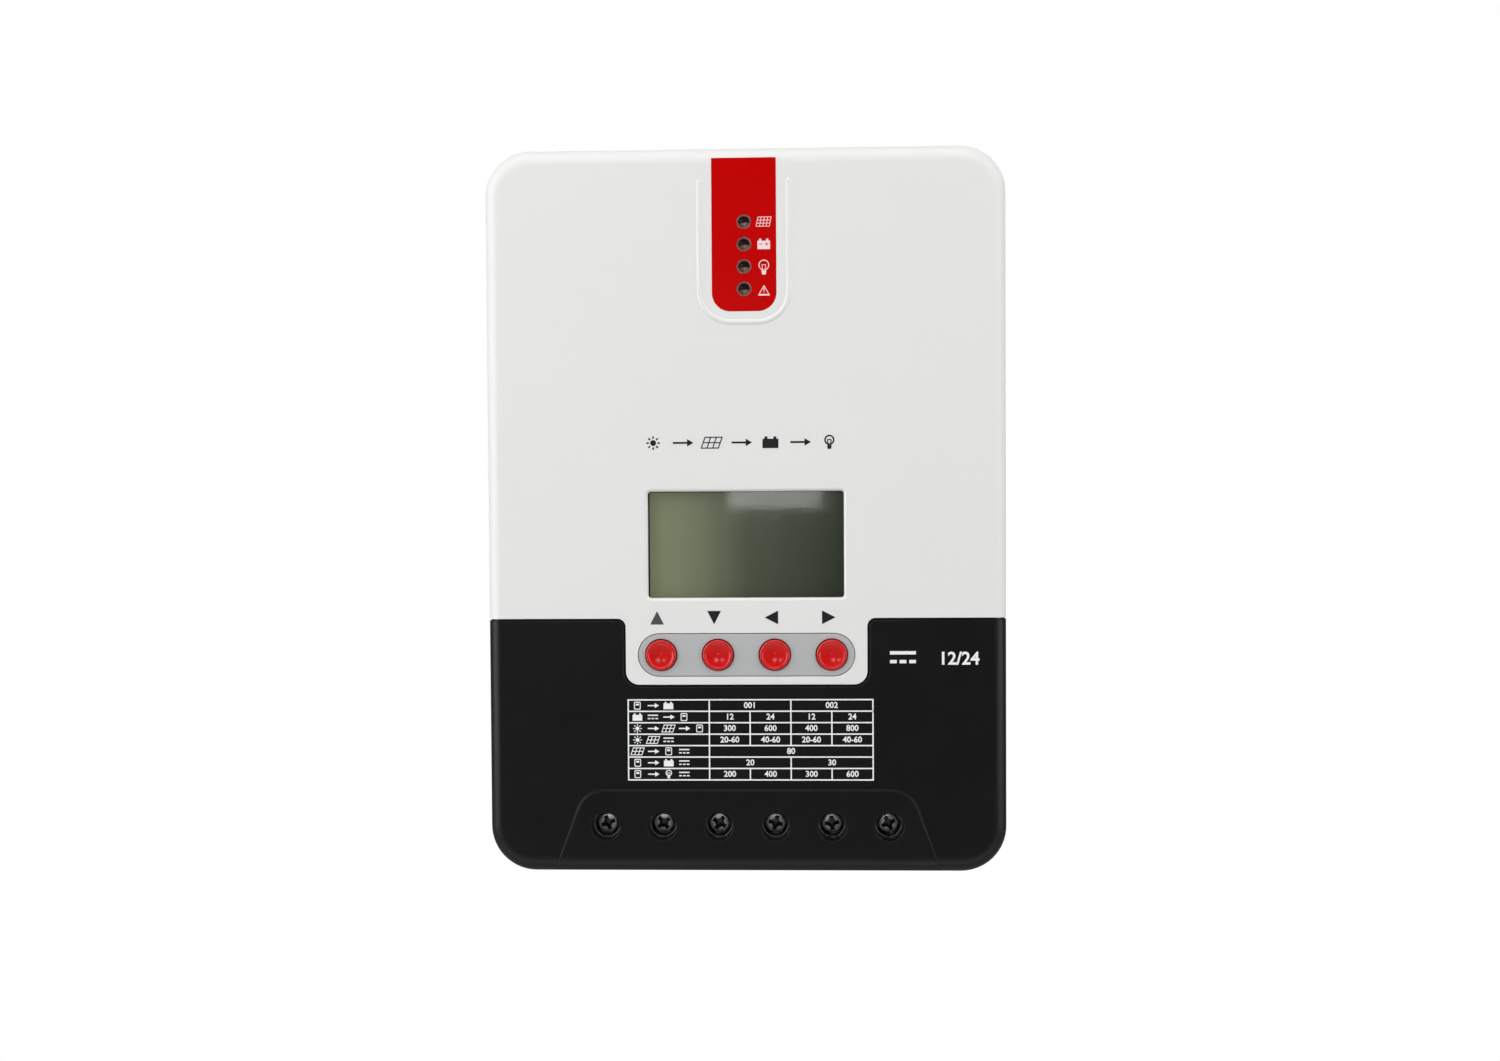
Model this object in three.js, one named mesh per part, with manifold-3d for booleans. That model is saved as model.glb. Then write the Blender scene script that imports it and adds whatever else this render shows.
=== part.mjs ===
// A wall-mounted solar charge controller: a two-part moulded case on a finned heat sink, with
// indicators, a display, a four-button keypad and six screw terminals.
// Millimetres. X is the width, +Z is up, the front faces -Y and the wall plane is y = 0.
// The origin is on the wall plane, at the middle of the case's width and height.
import * as THREE from "three";
import { mergeVertices } from "three/addons/utils/BufferGeometryUtils.js";
import Module from "manifold-3d";

const wasm = await Module();
wasm.setup();

// ---------------------------------------------------------------- driving dimensions

const GAP = 0.3; // clearance between neighbouring pieces
const BURY = 0.5; // how far a boss or a rib runs into the wall it grows from
const OVER = 1; // how far a cutter runs past the face it opens
const PAST = 10; // the same, where the case curves or widens beyond the face

// Curve steps. An arc takes two straight steps for each one stated here.
const STEPS = { corner: 3, hole: 8, small: 6, flank: 4, turned: 20, screw: 16, plain: 12, bevel: 3 };

const CASE = {
  width: 170, height: 237.5, // outline just behind the front edge's round
  rearWidth: 173, rearHeight: 238, // outline at the rear rim
  corner: 15, edge: 4.5, wall: 2.2,
  front: -71.5, rear: -32,
};
const SEAM = { z: -34.9, width: 0.7, lipInset: 0.9, lipReach: 1 };
const TONGUE = { half: 39.5, bottom: -56.6, corner: 4.4, shoulder: 2.7 };

const STRIP = { half: 10.46, bottom: 65.1, top: 114.2, corner: 6, thick: 0.5 };
const BEAD = { inner: 13.6, outer: 15.4, top: 107.3, innerBottom: 62.4, bottom: 60.75, proud: 0.5 };
const LED = {
  top: 94.06, pitch: 7.25, count: 4, overlayHole: 2.45, coverHole: 2.3,
  radius: 1.9, collar: 0.4, collarThick: 1, shoulder: -69.2, crownRadius: 1.37, crown: -70.2, front: -70.6,
};
const LED_BOARD = { half: 14, low: 59, high: 107, front: -63.7, thick: 1.6, postX: 11, postInset: 4 };

const OPENING = { half: 32.1, low: -28.23, high: 6.64, corner: 1 }; // the display's opening
const WINDOW = { margin: 2.8, front: -68.9, thick: 1 };
const PANEL = { margin: 1.3, front: -67.6, thick: 2.2 };
const FRAME = { margin: 4.3, front: -67.6, rear: -61.9 };
const DISPLAY_BOARD = { half: 42, low: -58, high: 18, front: -61.6, thick: 1.6 };
const DISPLAY_POSTS = { x: 39.7, z: [14, -30], radius: 1.6 };

const KEYPAD = { z: -47.04, half: 35.3, radius: 7.1, flange: 1.8, flangeFront: -69, rear: -67.6 };
const BUTTON = {
  pitch: 18.59, z: -46.8, radius: 5, hole: 5.3, front: -72.5,
  dish: 0.6, dishWall: 1, rim: 1.1, chamfer: 0.45,
  flangeRadius: 6.3, flangeFront: -67.3, rear: -66.3,
};
const BUTTON_NAMES = ["up", "down", "left", "right"];
const SWITCH = { size: 6, front: -64.9, well: 2.05, wellFloor: -63.1 };
const PLUNGER = { radius: 1.7, front: -66, rear: -64 };

const PLATEAU = { top: -91.1, half: 53.4, spread: 0.361, corner: 9.5, height: 1, flank: 1.3 };
const TERMINAL = { count: 6, pitch: 18.57, z: -103.06, access: 4.65, well: 4 };
const HOUSING = {
  half: 54.6, low: -116.2, high: -92, front: -66.5, rear: -41.5,
  noseHalf: 54, noseFront: -69.6, noseLow: -110.5, noseHigh: -95.6,
  cellHalf: 6.2, cellFront: -62.3, cellRear: -42.8, cellTop: -96.5, shoulder: -64.7,
};
const NOSE_POCKET = { sides: 1, ends: 0.7 }; // clearance round the housing's nose in the lower cover
const SCREW = {
  head: 3.25, shank: 2.5, front: -67.2, under: -65, tip: -53.8, chamfer: 0.5, crown: 0.6,
  cross: 4.6, slot: 1.1, slotDepth: 1.2,
};
const CAGE = { half: 5.5, side: 1.2, front: -58, frontWall: 2.6, rear: -43.2, rearWall: 1.8, length: 8 };
const CONTACT = {
  half: 3.9, front: -53.5, thick: 2, pad: 0.4, padHigh: -97.1, low: -109, high: -89.2, rear: -40.3,
};
const WIRE_ENTRY = { half: 5.7, front: -57.5, rear: -43.5, corner: 1.5 };

const DATA_PORT = { x: 62.4, half: 6.3, front: -52.3, rear: -40.3, high: -100, plugHalf: 5, plugDepth: 13 };
const SENSOR_PORT = { x: -62.4, half: 5.2, front: -50, rear: -40.3, high: -104, plugHalf: 4, plugDepth: 9 };
const PORT_WALL = 1.7; // wall between a port's outside and its plug hole, front and rear

const MAIN_BOARD = { half: 72, low: -113, high: 102, front: -40, thick: 1.6 };
const BOARD_POSTS = { x: 64, z: [94, 10, -94], radius: 3 };
const INDUCTOR = { x: -38, z: 62, radius: 16, tube: 6.5 };
const CAPACITOR = { x: [30, 52], z: 66, radius: 8.5, length: 25, chamfer: 0.8 };
const TRANSISTOR = {
  x: [-24, 24], z: 30, half: 5, body: 9, thick: 4.4, tab: 6, tabThick: 1.3, tabHole: 1.8,
  leads: [-2.5, 0, 2.5], leadHalf: 0.4, leadRise: 1.2, leadLength: 3,
};
const RIBBON = { x: 12, half: 8, thick: 0.6, high: 6, low: -24 };

const SINK = { front: -31.7, base: 6, corner: 16, outerFin: 80, finPitch: 8, finThick: 2, ribThick: 6 };
const FINS = { longUpTo: 56, longHalf: 113, shortHalf: 72 };
const FOOT = { inner: 61, outer: 83, low: 84, high: 111, wall: 2.5, plate: 4 };
const KEYHOLE = { x: 72, z: 97.5, entry: 4.5, slot: 2.3, drop: 4, rise: 5 };
const BOSS_RIB = { half: 1, short: 2 };
const COVER_SCREW = {
  x: 77, upper: [78, -22], lower: [-78], boss: 3.8, pilot: 1.85, depth: 14,
  shank: 1.5, head: 2.9, headHeight: 2, chamfer: 0.5, hole: 1.9, driver: 4.6, length: 18,
  cross: 3.6, slot: 0.8, slotDepth: 1,
};

// ---------------------------------------------------------------- solids from three.js geometry

const X = new THREE.Vector3(1, 0, 0);
const Y = new THREE.Vector3(0, 1, 0);
const Z = new THREE.Vector3(0, 0, 1);
const DRAWN_IN_XZ = new THREE.Matrix4().makeBasis(X, Z, Y.clone().negate());
const DRAWN_IN_YZ = new THREE.Matrix4().makeBasis(Y, Z, X);

// A closed geometry as a solid that can be joined and cut.
function solid(geometry) {
  const bare = geometry.index ? geometry.toNonIndexed() : geometry.clone();
  bare.deleteAttribute("normal");
  bare.deleteAttribute("uv");
  const merged = mergeVertices(bare, 1e-4);
  const corners = merged.index.array;
  const kept = [];
  for (let i = 0; i < corners.length; i += 3) {
    const [a, b, c] = corners.slice(i, i + 3);
    if (a !== b && b !== c && c !== a) kept.push(a, b, c);
  }
  return new wasm.Manifold(new wasm.Mesh({
    numProp: 3,
    vertProperties: merged.attributes.position.array,
    triVerts: new Uint32Array(kept),
  }));
}

const join = (...solids) => solids.reduce((whole, s) => whole.add(s));
const cut = (body, ...tools) => tools.reduce((whole, s) => whole.subtract(s), body);

// A named mesh of one solid, with its own material.
function piece(name, body, look) {
  const { vertProperties, triVerts } = body.getMesh();
  const geometry = new THREE.BufferGeometry();
  geometry.setAttribute("position", new THREE.BufferAttribute(vertProperties, 3));
  geometry.setIndex(new THREE.BufferAttribute(triVerts, 1));
  geometry.computeVertexNormals();
  const mesh = new THREE.Mesh(geometry, new THREE.MeshStandardMaterial(look));
  mesh.name = name;
  return mesh;
}

// A box given by its range along each axis.
function block([x0, x1], [y0, y1], [z0, z1]) {
  const geometry = new THREE.BoxGeometry(x1 - x0, y1 - y0, z1 - z0);
  return solid(geometry.translate((x0 + x1) / 2, (y0 + y1) / 2, (z0 + z1) / 2));
}

// An outline drawn in x and z, drawn out along Y.
function prismY(shape, front, rear, curveSegments = STEPS.corner) {
  const geometry = new THREE.ExtrudeGeometry(shape, {
    depth: rear - front, bevelEnabled: false, curveSegments,
  });
  return solid(geometry.applyMatrix4(DRAWN_IN_XZ).translate(0, rear, 0));
}

// An outline drawn in x and y, drawn out along Z.
function prismZ(shape, low, high, curveSegments = STEPS.corner) {
  const geometry = new THREE.ExtrudeGeometry(shape, {
    depth: high - low, bevelEnabled: false, curveSegments,
  });
  return solid(geometry.translate(0, 0, low));
}

// An outline drawn in y and z, drawn out along X.
function prismX(shape, left, right, curveSegments = STEPS.corner) {
  const geometry = new THREE.ExtrudeGeometry(shape, {
    depth: right - left, bevelEnabled: false, curveSegments,
  });
  return solid(geometry.applyMatrix4(DRAWN_IN_YZ).translate(left, 0, 0));
}

// A profile of [radius, y] points, from the rear to the front, turned about the Y axis.
function turned(profile, steps = STEPS.turned) {
  const points = profile.map(([radius, y]) => new THREE.Vector2(radius, y)).reverse();
  return solid(new THREE.LatheGeometry(points, steps));
}

function roundedRect([x0, x1], [z0, z1], r) {
  const quarter = Math.PI / 2;
  const shape = new THREE.Shape();
  shape.absarc(x1 - r, z0 + r, r, -quarter, 0);
  shape.absarc(x1 - r, z1 - r, r, 0, quarter);
  shape.absarc(x0 + r, z1 - r, r, quarter, 2 * quarter);
  shape.absarc(x0 + r, z0 + r, r, 2 * quarter, 3 * quarter);
  return shape;
}

function circle(radius, x = 0, z = 0) {
  return new THREE.Shape().absarc(x, z, radius, 0, 2 * Math.PI);
}

const rod = (radius, x, z, front, rear, steps = STEPS.hole) =>
  prismY(circle(radius, x, z), front, rear, steps);

// Evenly spaced places, centred on zero.
const row = (count, pitch) => Array.from({ length: count }, (_, i) => (i - (count - 1) / 2) * pitch);

// ---------------------------------------------------------------- the case

// The case's outer form, inset by a distance on every side: an outline that widens from the front to
// the rear, with a rounded front edge. shift moves its front face.
function caseBlock(inset, { shift = 0, past = 0 } = {}) {
  const halfWidth = CASE.width / 2 - inset;
  const halfHeight = CASE.height / 2 - inset;
  const edge = CASE.edge - inset;
  const front = CASE.front + inset + shift;
  const length = CASE.rear - front + PAST;
  const outline = roundedRect([-halfWidth, halfWidth], [-halfHeight, halfHeight], CASE.corner - inset);
  const geometry = new THREE.ExtrudeGeometry(outline, {
    depth: length, bevelThickness: edge, bevelSize: edge, bevelOffset: -edge,
    bevelSegments: STEPS.bevel, curveSegments: STEPS.corner,
  });
  geometry.applyMatrix4(DRAWN_IN_XZ).translate(0, front + length + edge, 0);
  const place = geometry.attributes.position;
  for (let i = 0; i < place.count; i += 1) {
    const t = (place.getY(i) - CASE.front) / (CASE.rear - CASE.front);
    place.setX(i, place.getX(i) * (1 + (CASE.rearWidth / CASE.width - 1) * t));
    place.setZ(i, place.getZ(i) * (1 + (CASE.rearHeight / CASE.height - 1) * t));
  }
  const rear = CASE.rear + past;
  const around = CASE.height;
  return cut(solid(geometry), block([-around, around], [rear, rear + 4 * PAST], [-around, around]));
}

const caseShell = () => cut(caseBlock(0), caseBlock(CASE.wall, { past: OVER }));

// Everything above the seam, with the tongue that reaches down round the keypad. grow moves the
// boundary outwards.
function aboveSeam(grow) {
  const far = CASE.height;
  const half = TONGUE.half + grow;
  const seam = SEAM.z - grow;
  const bottom = TONGUE.bottom - grow;
  const shoulder = TONGUE.shoulder - grow;
  const corner = TONGUE.corner + grow;
  const quarter = Math.PI / 2;
  const shape = new THREE.Shape();
  shape.moveTo(-far, far);
  shape.lineTo(-far, seam);
  shape.absarc(-half - shoulder, seam - shoulder, shoulder, quarter, 0, true);
  shape.absarc(-half + corner, bottom + corner, corner, 2 * quarter, 3 * quarter);
  shape.absarc(half - corner, bottom + corner, corner, 3 * quarter, 4 * quarter);
  shape.absarc(half + shoulder, seam - shoulder, shoulder, 2 * quarter, quarter, true);
  shape.lineTo(far, seam);
  shape.lineTo(far, far);
  return prismY(shape, CASE.front - PAST, CASE.rear + PAST);
}

// A screw boss at the side of the case, with the rib that ties it to the side wall.
function sideBoss(side, z) {
  const x = side * COVER_SCREW.x;
  const front = CASE.front + CASE.wall - BURY;
  const reach = [x, side * (CASE.width / 2 - CASE.wall + BURY)].sort((a, b) => a - b);
  return join(
    rod(COVER_SCREW.boss, x, z, front, CASE.rear, STEPS.small),
    block(reach, [front, CASE.rear - BOSS_RIB.short], [z - BOSS_RIB.half, z + BOSS_RIB.half]),
  );
}

function withBosses(cover, heights) {
  const places = heights.flatMap((z) => [[-1, z], [1, z]]);
  const bosses = places.map(([side, z]) => sideBoss(side, z));
  const { pilot, depth } = COVER_SCREW;
  const pilots = places.map(([side, z]) =>
    rod(pilot, side * COVER_SCREW.x, z, CASE.rear - depth, CASE.rear + OVER, STEPS.small));
  return cut(join(cover, ...bosses), ...pilots);
}

// The indicator strip's outline: square at the top, round at the bottom.
function stripOutline(grow) {
  const half = STRIP.half + grow;
  const r = STRIP.corner + grow;
  const bottom = STRIP.bottom - grow;
  const shape = new THREE.Shape();
  shape.moveTo(half, STRIP.top + grow);
  shape.lineTo(-half, STRIP.top + grow);
  shape.absarc(-half + r, bottom + r, r, Math.PI, 1.5 * Math.PI);
  shape.absarc(half - r, bottom + r, r, 1.5 * Math.PI, 2 * Math.PI);
  return shape;
}

const ledHeights = Array.from({ length: LED.count }, (_, i) => LED.top - i * LED.pitch);

// The U-shaped raised bead round the strip.
function bead() {
  const centre = STRIP.half - STRIP.corner;
  const outerR = BEAD.outer - centre;
  const innerR = BEAD.inner - centre;
  const shape = new THREE.Shape();
  shape.moveTo(-BEAD.inner, BEAD.top);
  shape.lineTo(-BEAD.outer, BEAD.top);
  shape.absarc(-centre, BEAD.bottom + outerR, outerR, Math.PI, 1.5 * Math.PI);
  shape.absarc(centre, BEAD.bottom + outerR, outerR, 1.5 * Math.PI, 2 * Math.PI);
  shape.lineTo(BEAD.outer, BEAD.top);
  shape.lineTo(BEAD.inner, BEAD.top);
  shape.absarc(centre, BEAD.innerBottom + innerR, innerR, 2 * Math.PI, 1.5 * Math.PI, true);
  shape.absarc(-centre, BEAD.innerBottom + innerR, innerR, 1.5 * Math.PI, Math.PI, true);
  return prismY(shape, CASE.front - BEAD.proud, CASE.front + BURY);
}

// A pill outline centred on the keypad.
function pill(grow) {
  const r = KEYPAD.radius + grow;
  const half = KEYPAD.half + grow;
  return roundedRect([-half, half], [KEYPAD.z - r, KEYPAD.z + r], r);
}

function upperCover() {
  const rebate = cut(aboveSeam(OVER), aboveSeam(-SEAM.lipReach - GAP))
    .intersect(caseBlock(SEAM.lipInset - GAP, { past: OVER }));
  const inside = CASE.front + CASE.wall - BURY;
  const displayPosts = DISPLAY_POSTS.z.flatMap((z) => [-1, 1].map((side) =>
    rod(DISPLAY_POSTS.radius, side * DISPLAY_POSTS.x, z, inside, DISPLAY_BOARD.front - GAP, STEPS.small)));
  const ledPosts = [LED_BOARD.low, LED_BOARD.high - 2 * LED_BOARD.postInset].flatMap((low) =>
    [-1, 1].map((side) => rod(DISPLAY_POSTS.radius, side * LED_BOARD.postX, low + LED_BOARD.postInset,
      inside, LED_BOARD.front - GAP, STEPS.small)));
  const body = join(cut(caseShell().intersect(aboveSeam(0)), rebate), bead(), ...displayPosts, ...ledPosts);
  const opening = roundedRect([-OPENING.half, OPENING.half], [OPENING.low, OPENING.high], OPENING.corner);
  return cut(
    withBosses(body, COVER_SCREW.upper),
    prismY(opening, CASE.front - OVER, WINDOW.front, 1),
    prismY(stripOutline(GAP), CASE.front - OVER, CASE.front + STRIP.thick + GAP),
    prismY(pill(GAP), CASE.front - OVER, KEYPAD.flangeFront, STEPS.small),
    ...ledHeights.map((z) => rod(LED.coverHole, 0, z, CASE.front - OVER, CASE.front + CASE.wall + OVER)),
  );
}

// The raised field round the terminal holes: a trapezium with sloped flanks and two round corners.
function plateau() {
  const { spread } = PLATEAU;
  const top = PLATEAU.top - PLATEAU.flank / 2;
  const steep = Math.hypot(1, spread);
  const half = PLATEAU.half - (PLATEAU.flank / 2) * (steep - spread);
  const r = PLATEAU.corner;
  const centre = half - r * (steep - spread);
  const lean = Math.atan(spread);
  const low = -CASE.height / 2 - PAST;
  const shape = new THREE.Shape();
  shape.moveTo(-half - (top - low) * spread, low);
  shape.lineTo(half + (top - low) * spread, low);
  shape.absarc(centre, top - r, r, lean, Math.PI / 2);
  shape.absarc(-centre, top - r, r, Math.PI / 2, Math.PI - lean);
  const depth = CASE.wall / 4;
  const geometry = new THREE.ExtrudeGeometry(shape, {
    depth, bevelThickness: PLATEAU.height, bevelSize: PLATEAU.flank, bevelSegments: 1,
    curveSegments: STEPS.flank,
  });
  geometry.applyMatrix4(DRAWN_IN_XZ).translate(0, CASE.front + depth, 0);
  return solid(geometry).intersect(caseBlock(0, { shift: -PLATEAU.height }));
}

const terminalPlaces = row(TERMINAL.count, TERMINAL.pitch);

function portHole(port) {
  const x = [port.x - port.plugHalf - GAP, port.x + port.plugHalf + GAP];
  return block(x, [port.front + PORT_WALL - GAP, port.rear - PORT_WALL + GAP],
    [-CASE.height / 2 - OVER, HOUSING.low]);
}

function lowerCover() {
  const lip = cut(caseBlock(SEAM.lipInset), caseBlock(CASE.wall, { past: OVER }))
    .intersect(cut(aboveSeam(SEAM.width + BURY), aboveSeam(-SEAM.lipReach)));
  const body = withBosses(cut(caseShell(), aboveSeam(SEAM.width)), COVER_SCREW.lower);
  const { sides, ends } = NOSE_POCKET;
  const pocket = block([-HOUSING.noseHalf - sides, HOUSING.noseHalf + sides],
    [HOUSING.noseFront - GAP, CASE.front + CASE.wall + OVER],
    [HOUSING.noseLow - ends, HOUSING.noseHigh + ends]);
  const access = terminalPlaces.map((x) =>
    rod(TERMINAL.access, x, TERMINAL.z, CASE.front - PAST, HOUSING.noseFront));
  const entries = terminalPlaces.map((x) => prismZ(
    roundedRect([x - WIRE_ENTRY.half, x + WIRE_ENTRY.half], [WIRE_ENTRY.front, WIRE_ENTRY.rear],
      WIRE_ENTRY.corner),
    -CASE.height / 2 - OVER, HOUSING.low, 1));
  return cut(join(body, lip, plateau()), pocket, ...access, ...entries,
    portHole(DATA_PORT), portHole(SENSOR_PORT));
}

// ---------------------------------------------------------------- indicators and display

function indicatorOverlay() {
  const sheet = prismY(stripOutline(0), CASE.front, CASE.front + STRIP.thick);
  return cut(sheet, ...ledHeights.map((z) =>
    rod(LED.overlayHole, 0, z, CASE.front - OVER, CASE.front + STRIP.thick + OVER)));
}

// One indicator lamp: a domed lens on a collar that stands on the board.
function led() {
  const rear = LED_BOARD.front - GAP;
  const collar = LED.radius + LED.collar;
  const collarFront = rear - LED.collarThick;
  return turned([
    [0, rear], [collar, rear], [collar, collarFront], [LED.radius, collarFront],
    [LED.radius, LED.shoulder], [LED.crownRadius, LED.crown], [0, LED.front],
  ], STEPS.plain);
}

// A slab behind the display's opening that overlaps its edge by a margin.
function behindOpening({ margin, front }, rear) {
  return block([-OPENING.half - margin, OPENING.half + margin], [front, rear],
    [OPENING.low - margin, OPENING.high + margin]);
}

const displayWindow = () => behindOpening(WINDOW, WINDOW.front + WINDOW.thick);
const lcdPanel = () => behindOpening(PANEL, PANEL.front + PANEL.thick);

// The tray that holds the panel in front of its backlight floor.
function lcdFrame() {
  const pocket = { margin: PANEL.margin + GAP, front: PANEL.front - OVER };
  return cut(behindOpening(FRAME, FRAME.rear), behindOpening(pocket, PANEL.front + PANEL.thick + GAP));
}

// A bare circuit board, standing upright.
function board({ half, front, thick, low, high }) {
  return block([-half, half], [front, front + thick], [low, high]);
}

// The flat cable that loops from the rear of the display board to the main board.
function displayCable() {
  const front = DISPLAY_BOARD.front + DISPLAY_BOARD.thick + GAP;
  const rear = MAIN_BOARD.front - GAP;
  const { high, low, thick } = RIBBON;
  const pull = (rear - front) * 0.9;
  const shape = new THREE.Shape();
  shape.moveTo(front, high);
  shape.bezierCurveTo(front + pull, high, rear - pull, low, rear, low);
  shape.lineTo(rear, low + thick);
  shape.bezierCurveTo(rear - pull, low + thick, front + pull, high + thick, front, high + thick);
  return prismX(shape, RIBBON.x - RIBBON.half, RIBBON.x + RIBBON.half, STEPS.hole);
}

// ---------------------------------------------------------------- keypad

const buttonPlaces = row(BUTTON_NAMES.length, BUTTON.pitch);

function keypadBezel() {
  const body = join(
    prismY(pill(0), CASE.front, KEYPAD.rear, STEPS.small),
    prismY(pill(KEYPAD.flange), KEYPAD.flangeFront + GAP, KEYPAD.rear, STEPS.small),
  );
  return cut(body, ...buttonPlaces.map((x) =>
    rod(BUTTON.hole, x, BUTTON.z, CASE.front - OVER, KEYPAD.rear + OVER, STEPS.turned / 2)));
}

// A dished round cap with a flange that keeps it behind the bezel.
function button() {
  const { radius, front, dish, dishWall, rim, chamfer, flangeRadius, flangeFront, rear } = BUTTON;
  return turned([
    [0, rear], [flangeRadius, rear], [flangeRadius, flangeFront], [radius, flangeFront],
    [radius, front + chamfer], [radius - chamfer, front], [radius - rim, front],
    [radius - rim - dishWall, front + dish * 0.6], [0, front + dish],
  ]);
}

// A tactile switch's body, with the well that its plunger slides in.
function tactSwitch() {
  const half = SWITCH.size / 2;
  return cut(
    block([-half, half], [SWITCH.front, DISPLAY_BOARD.front - GAP], [-half, half]),
    rod(SWITCH.well, 0, 0, SWITCH.front - OVER, SWITCH.wellFloor, STEPS.small),
  );
}

const plunger = () => turned([
  [0, PLUNGER.rear], [PLUNGER.radius, PLUNGER.rear], [PLUNGER.radius, PLUNGER.front], [0, PLUNGER.front],
], STEPS.plain);

// ---------------------------------------------------------------- terminals

// The moulded block: six screw wells in front, over six cells that are open below for the wires.
function terminalHousing() {
  const h = HOUSING;
  const body = join(
    block([-h.half, h.half], [h.front, h.rear], [h.low, h.high]),
    block([-h.noseHalf, h.noseHalf], [h.noseFront, h.front + BURY], [h.noseLow, h.noseHigh]),
  );
  const slotHalf = CONTACT.half + GAP;
  const holes = terminalPlaces.flatMap((x) => [
    block([x - h.cellHalf, x + h.cellHalf], [h.cellFront, h.cellRear], [h.low - OVER, h.cellTop]),
    rod(TERMINAL.well, x, TERMINAL.z, h.noseFront - OVER, h.shoulder),
    rod(SCREW.shank + GAP, x, TERMINAL.z, h.shoulder - OVER, h.cellFront + OVER),
    block([x - slotHalf, x + slotHalf], [CONTACT.front - GAP, CONTACT.front + CONTACT.thick + GAP],
      [h.cellTop - OVER, h.high + OVER]),
  ]);
  return cut(body, ...holes);
}

// The two slots of a cross recess, about the Y axis.
function crossRecess({ cross, slot }, depth) {
  const across = [-cross / 2, cross / 2];
  const wide = [-slot / 2, slot / 2];
  return [block(across, depth, wide), block(wide, depth, across)];
}

// The pieces of one terminal are drawn about the screw's axis.
function terminalScrew() {
  const { head, shank, front, under, tip, chamfer, crown } = SCREW;
  const body = turned([
    [0, tip], [shank - chamfer, tip], [shank, tip - chamfer], [shank, under], [head, under],
    [head, front + crown], [head - crown, front], [0, front],
  ], STEPS.screw);
  return cut(body, ...crossRecess(SCREW, [front - OVER, front + SCREW.slotDepth]));
}

// The rising cage: a steel loop that the screw draws forwards, so that its rear wall lifts the wire
// against the contact.
function terminalCage() {
  const inner = CAGE.half - CAGE.side;
  const ends = [-CAGE.length / 2, CAGE.length / 2];
  return cut(
    block([-CAGE.half, CAGE.half], [CAGE.front, CAGE.rear], ends),
    block([-inner, inner], [CAGE.front + CAGE.frontWall, CAGE.rear - CAGE.rearWall],
      [ends[0] - OVER, ends[1] + OVER]),
    rod(SCREW.shank + GAP, 0, 0, CAGE.front - OVER, CAGE.front + CAGE.frontWall + OVER),
  );
}

// The fixed contact: an upright bar inside the cage with a proud pad where the wire lands, and a leg
// back to the main board.
function terminalContact() {
  const { front, thick, rear } = CONTACT;
  const low = CONTACT.low - TERMINAL.z;
  const high = CONTACT.high - TERMINAL.z;
  const padHigh = CONTACT.padHigh - TERMINAL.z;
  const padRear = front + thick + CONTACT.pad;
  const shape = new THREE.Shape();
  shape.moveTo(front, low);
  shape.lineTo(padRear, low);
  shape.lineTo(padRear, padHigh);
  shape.lineTo(front + thick, padHigh);
  shape.lineTo(front + thick, high - thick);
  shape.lineTo(rear, high - thick);
  shape.lineTo(rear, high);
  shape.lineTo(front, high);
  return prismX(shape, -CONTACT.half, CONTACT.half);
}

// ---------------------------------------------------------------- ports, boards and power parts

// A socket on the main board whose mouth is in the case's bottom face.
function port({ x, half, front, rear, high, plugHalf, plugDepth }) {
  return cut(
    block([x - half, x + half], [front, rear], [HOUSING.low, high]),
    block([x - plugHalf, x + plugHalf], [front + PORT_WALL, rear - PORT_WALL],
      [HOUSING.low - OVER, HOUSING.low + plugDepth]),
  );
}

// A wound ring lying flat on the main board.
function powerInductor() {
  const geometry = new THREE.TorusGeometry(INDUCTOR.radius, INDUCTOR.tube, 8, 20);
  const rest = MAIN_BOARD.front - GAP - INDUCTOR.tube;
  return solid(geometry.applyMatrix4(DRAWN_IN_XZ).translate(INDUCTOR.x, rest, INDUCTOR.z));
}

function bulkCapacitor() {
  const rear = MAIN_BOARD.front - GAP;
  const front = rear - CAPACITOR.length;
  const { radius, chamfer } = CAPACITOR;
  return turned([
    [0, rear], [radius, rear], [radius, front + chamfer], [radius - chamfer, front], [0, front],
  ], STEPS.screw);
}

// A transistor clamped to the heat sink under the main board: body, metal tab and three leads.
function powerTransistor() {
  const t = TRANSISTOR;
  const rear = SINK.front - GAP;
  const front = rear - t.thick;
  const end = t.body / 2;
  const leads = t.leads.map((x) => block([x - t.leadHalf, x + t.leadHalf],
    [front - t.leadRise, front + t.thick / 2], [-end - t.leadLength, -end + BURY]));
  const tab = cut(
    block([-t.half, t.half], [rear - t.tabThick, rear], [end - BURY, end + t.tab]),
    rod(t.tabHole, 0, end + t.tab / 2, rear - t.thick, rear + OVER, STEPS.small),
  );
  return join(block([-t.half, t.half], [front, rear], [-end, end]), tab, ...leads);
}

// ---------------------------------------------------------------- heat sink and cover screws

const finPlaces = row(2 * Math.round(SINK.outerFin / SINK.finPitch) + 1, SINK.finPitch);

// One of the four hollow feet that carry the keyholes on the wall plane.
function foot(side, level) {
  const along = (a, b) => [side * a, side * b].sort((p, q) => p - q);
  const up = (a, b) => [level * a, level * b].sort((p, q) => p - q);
  const back = SINK.front + SINK.base - BURY;
  const length = up(FOOT.low, FOOT.high);
  return join(
    block(along(FOOT.inner, FOOT.outer), [-FOOT.plate, 0], length),
    block(along(FOOT.inner, FOOT.inner + FOOT.wall), [back, -FOOT.plate + BURY], length),
    block(along(FOOT.outer - FOOT.wall, FOOT.outer), [back, -FOOT.plate + BURY], length),
  );
}

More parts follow.
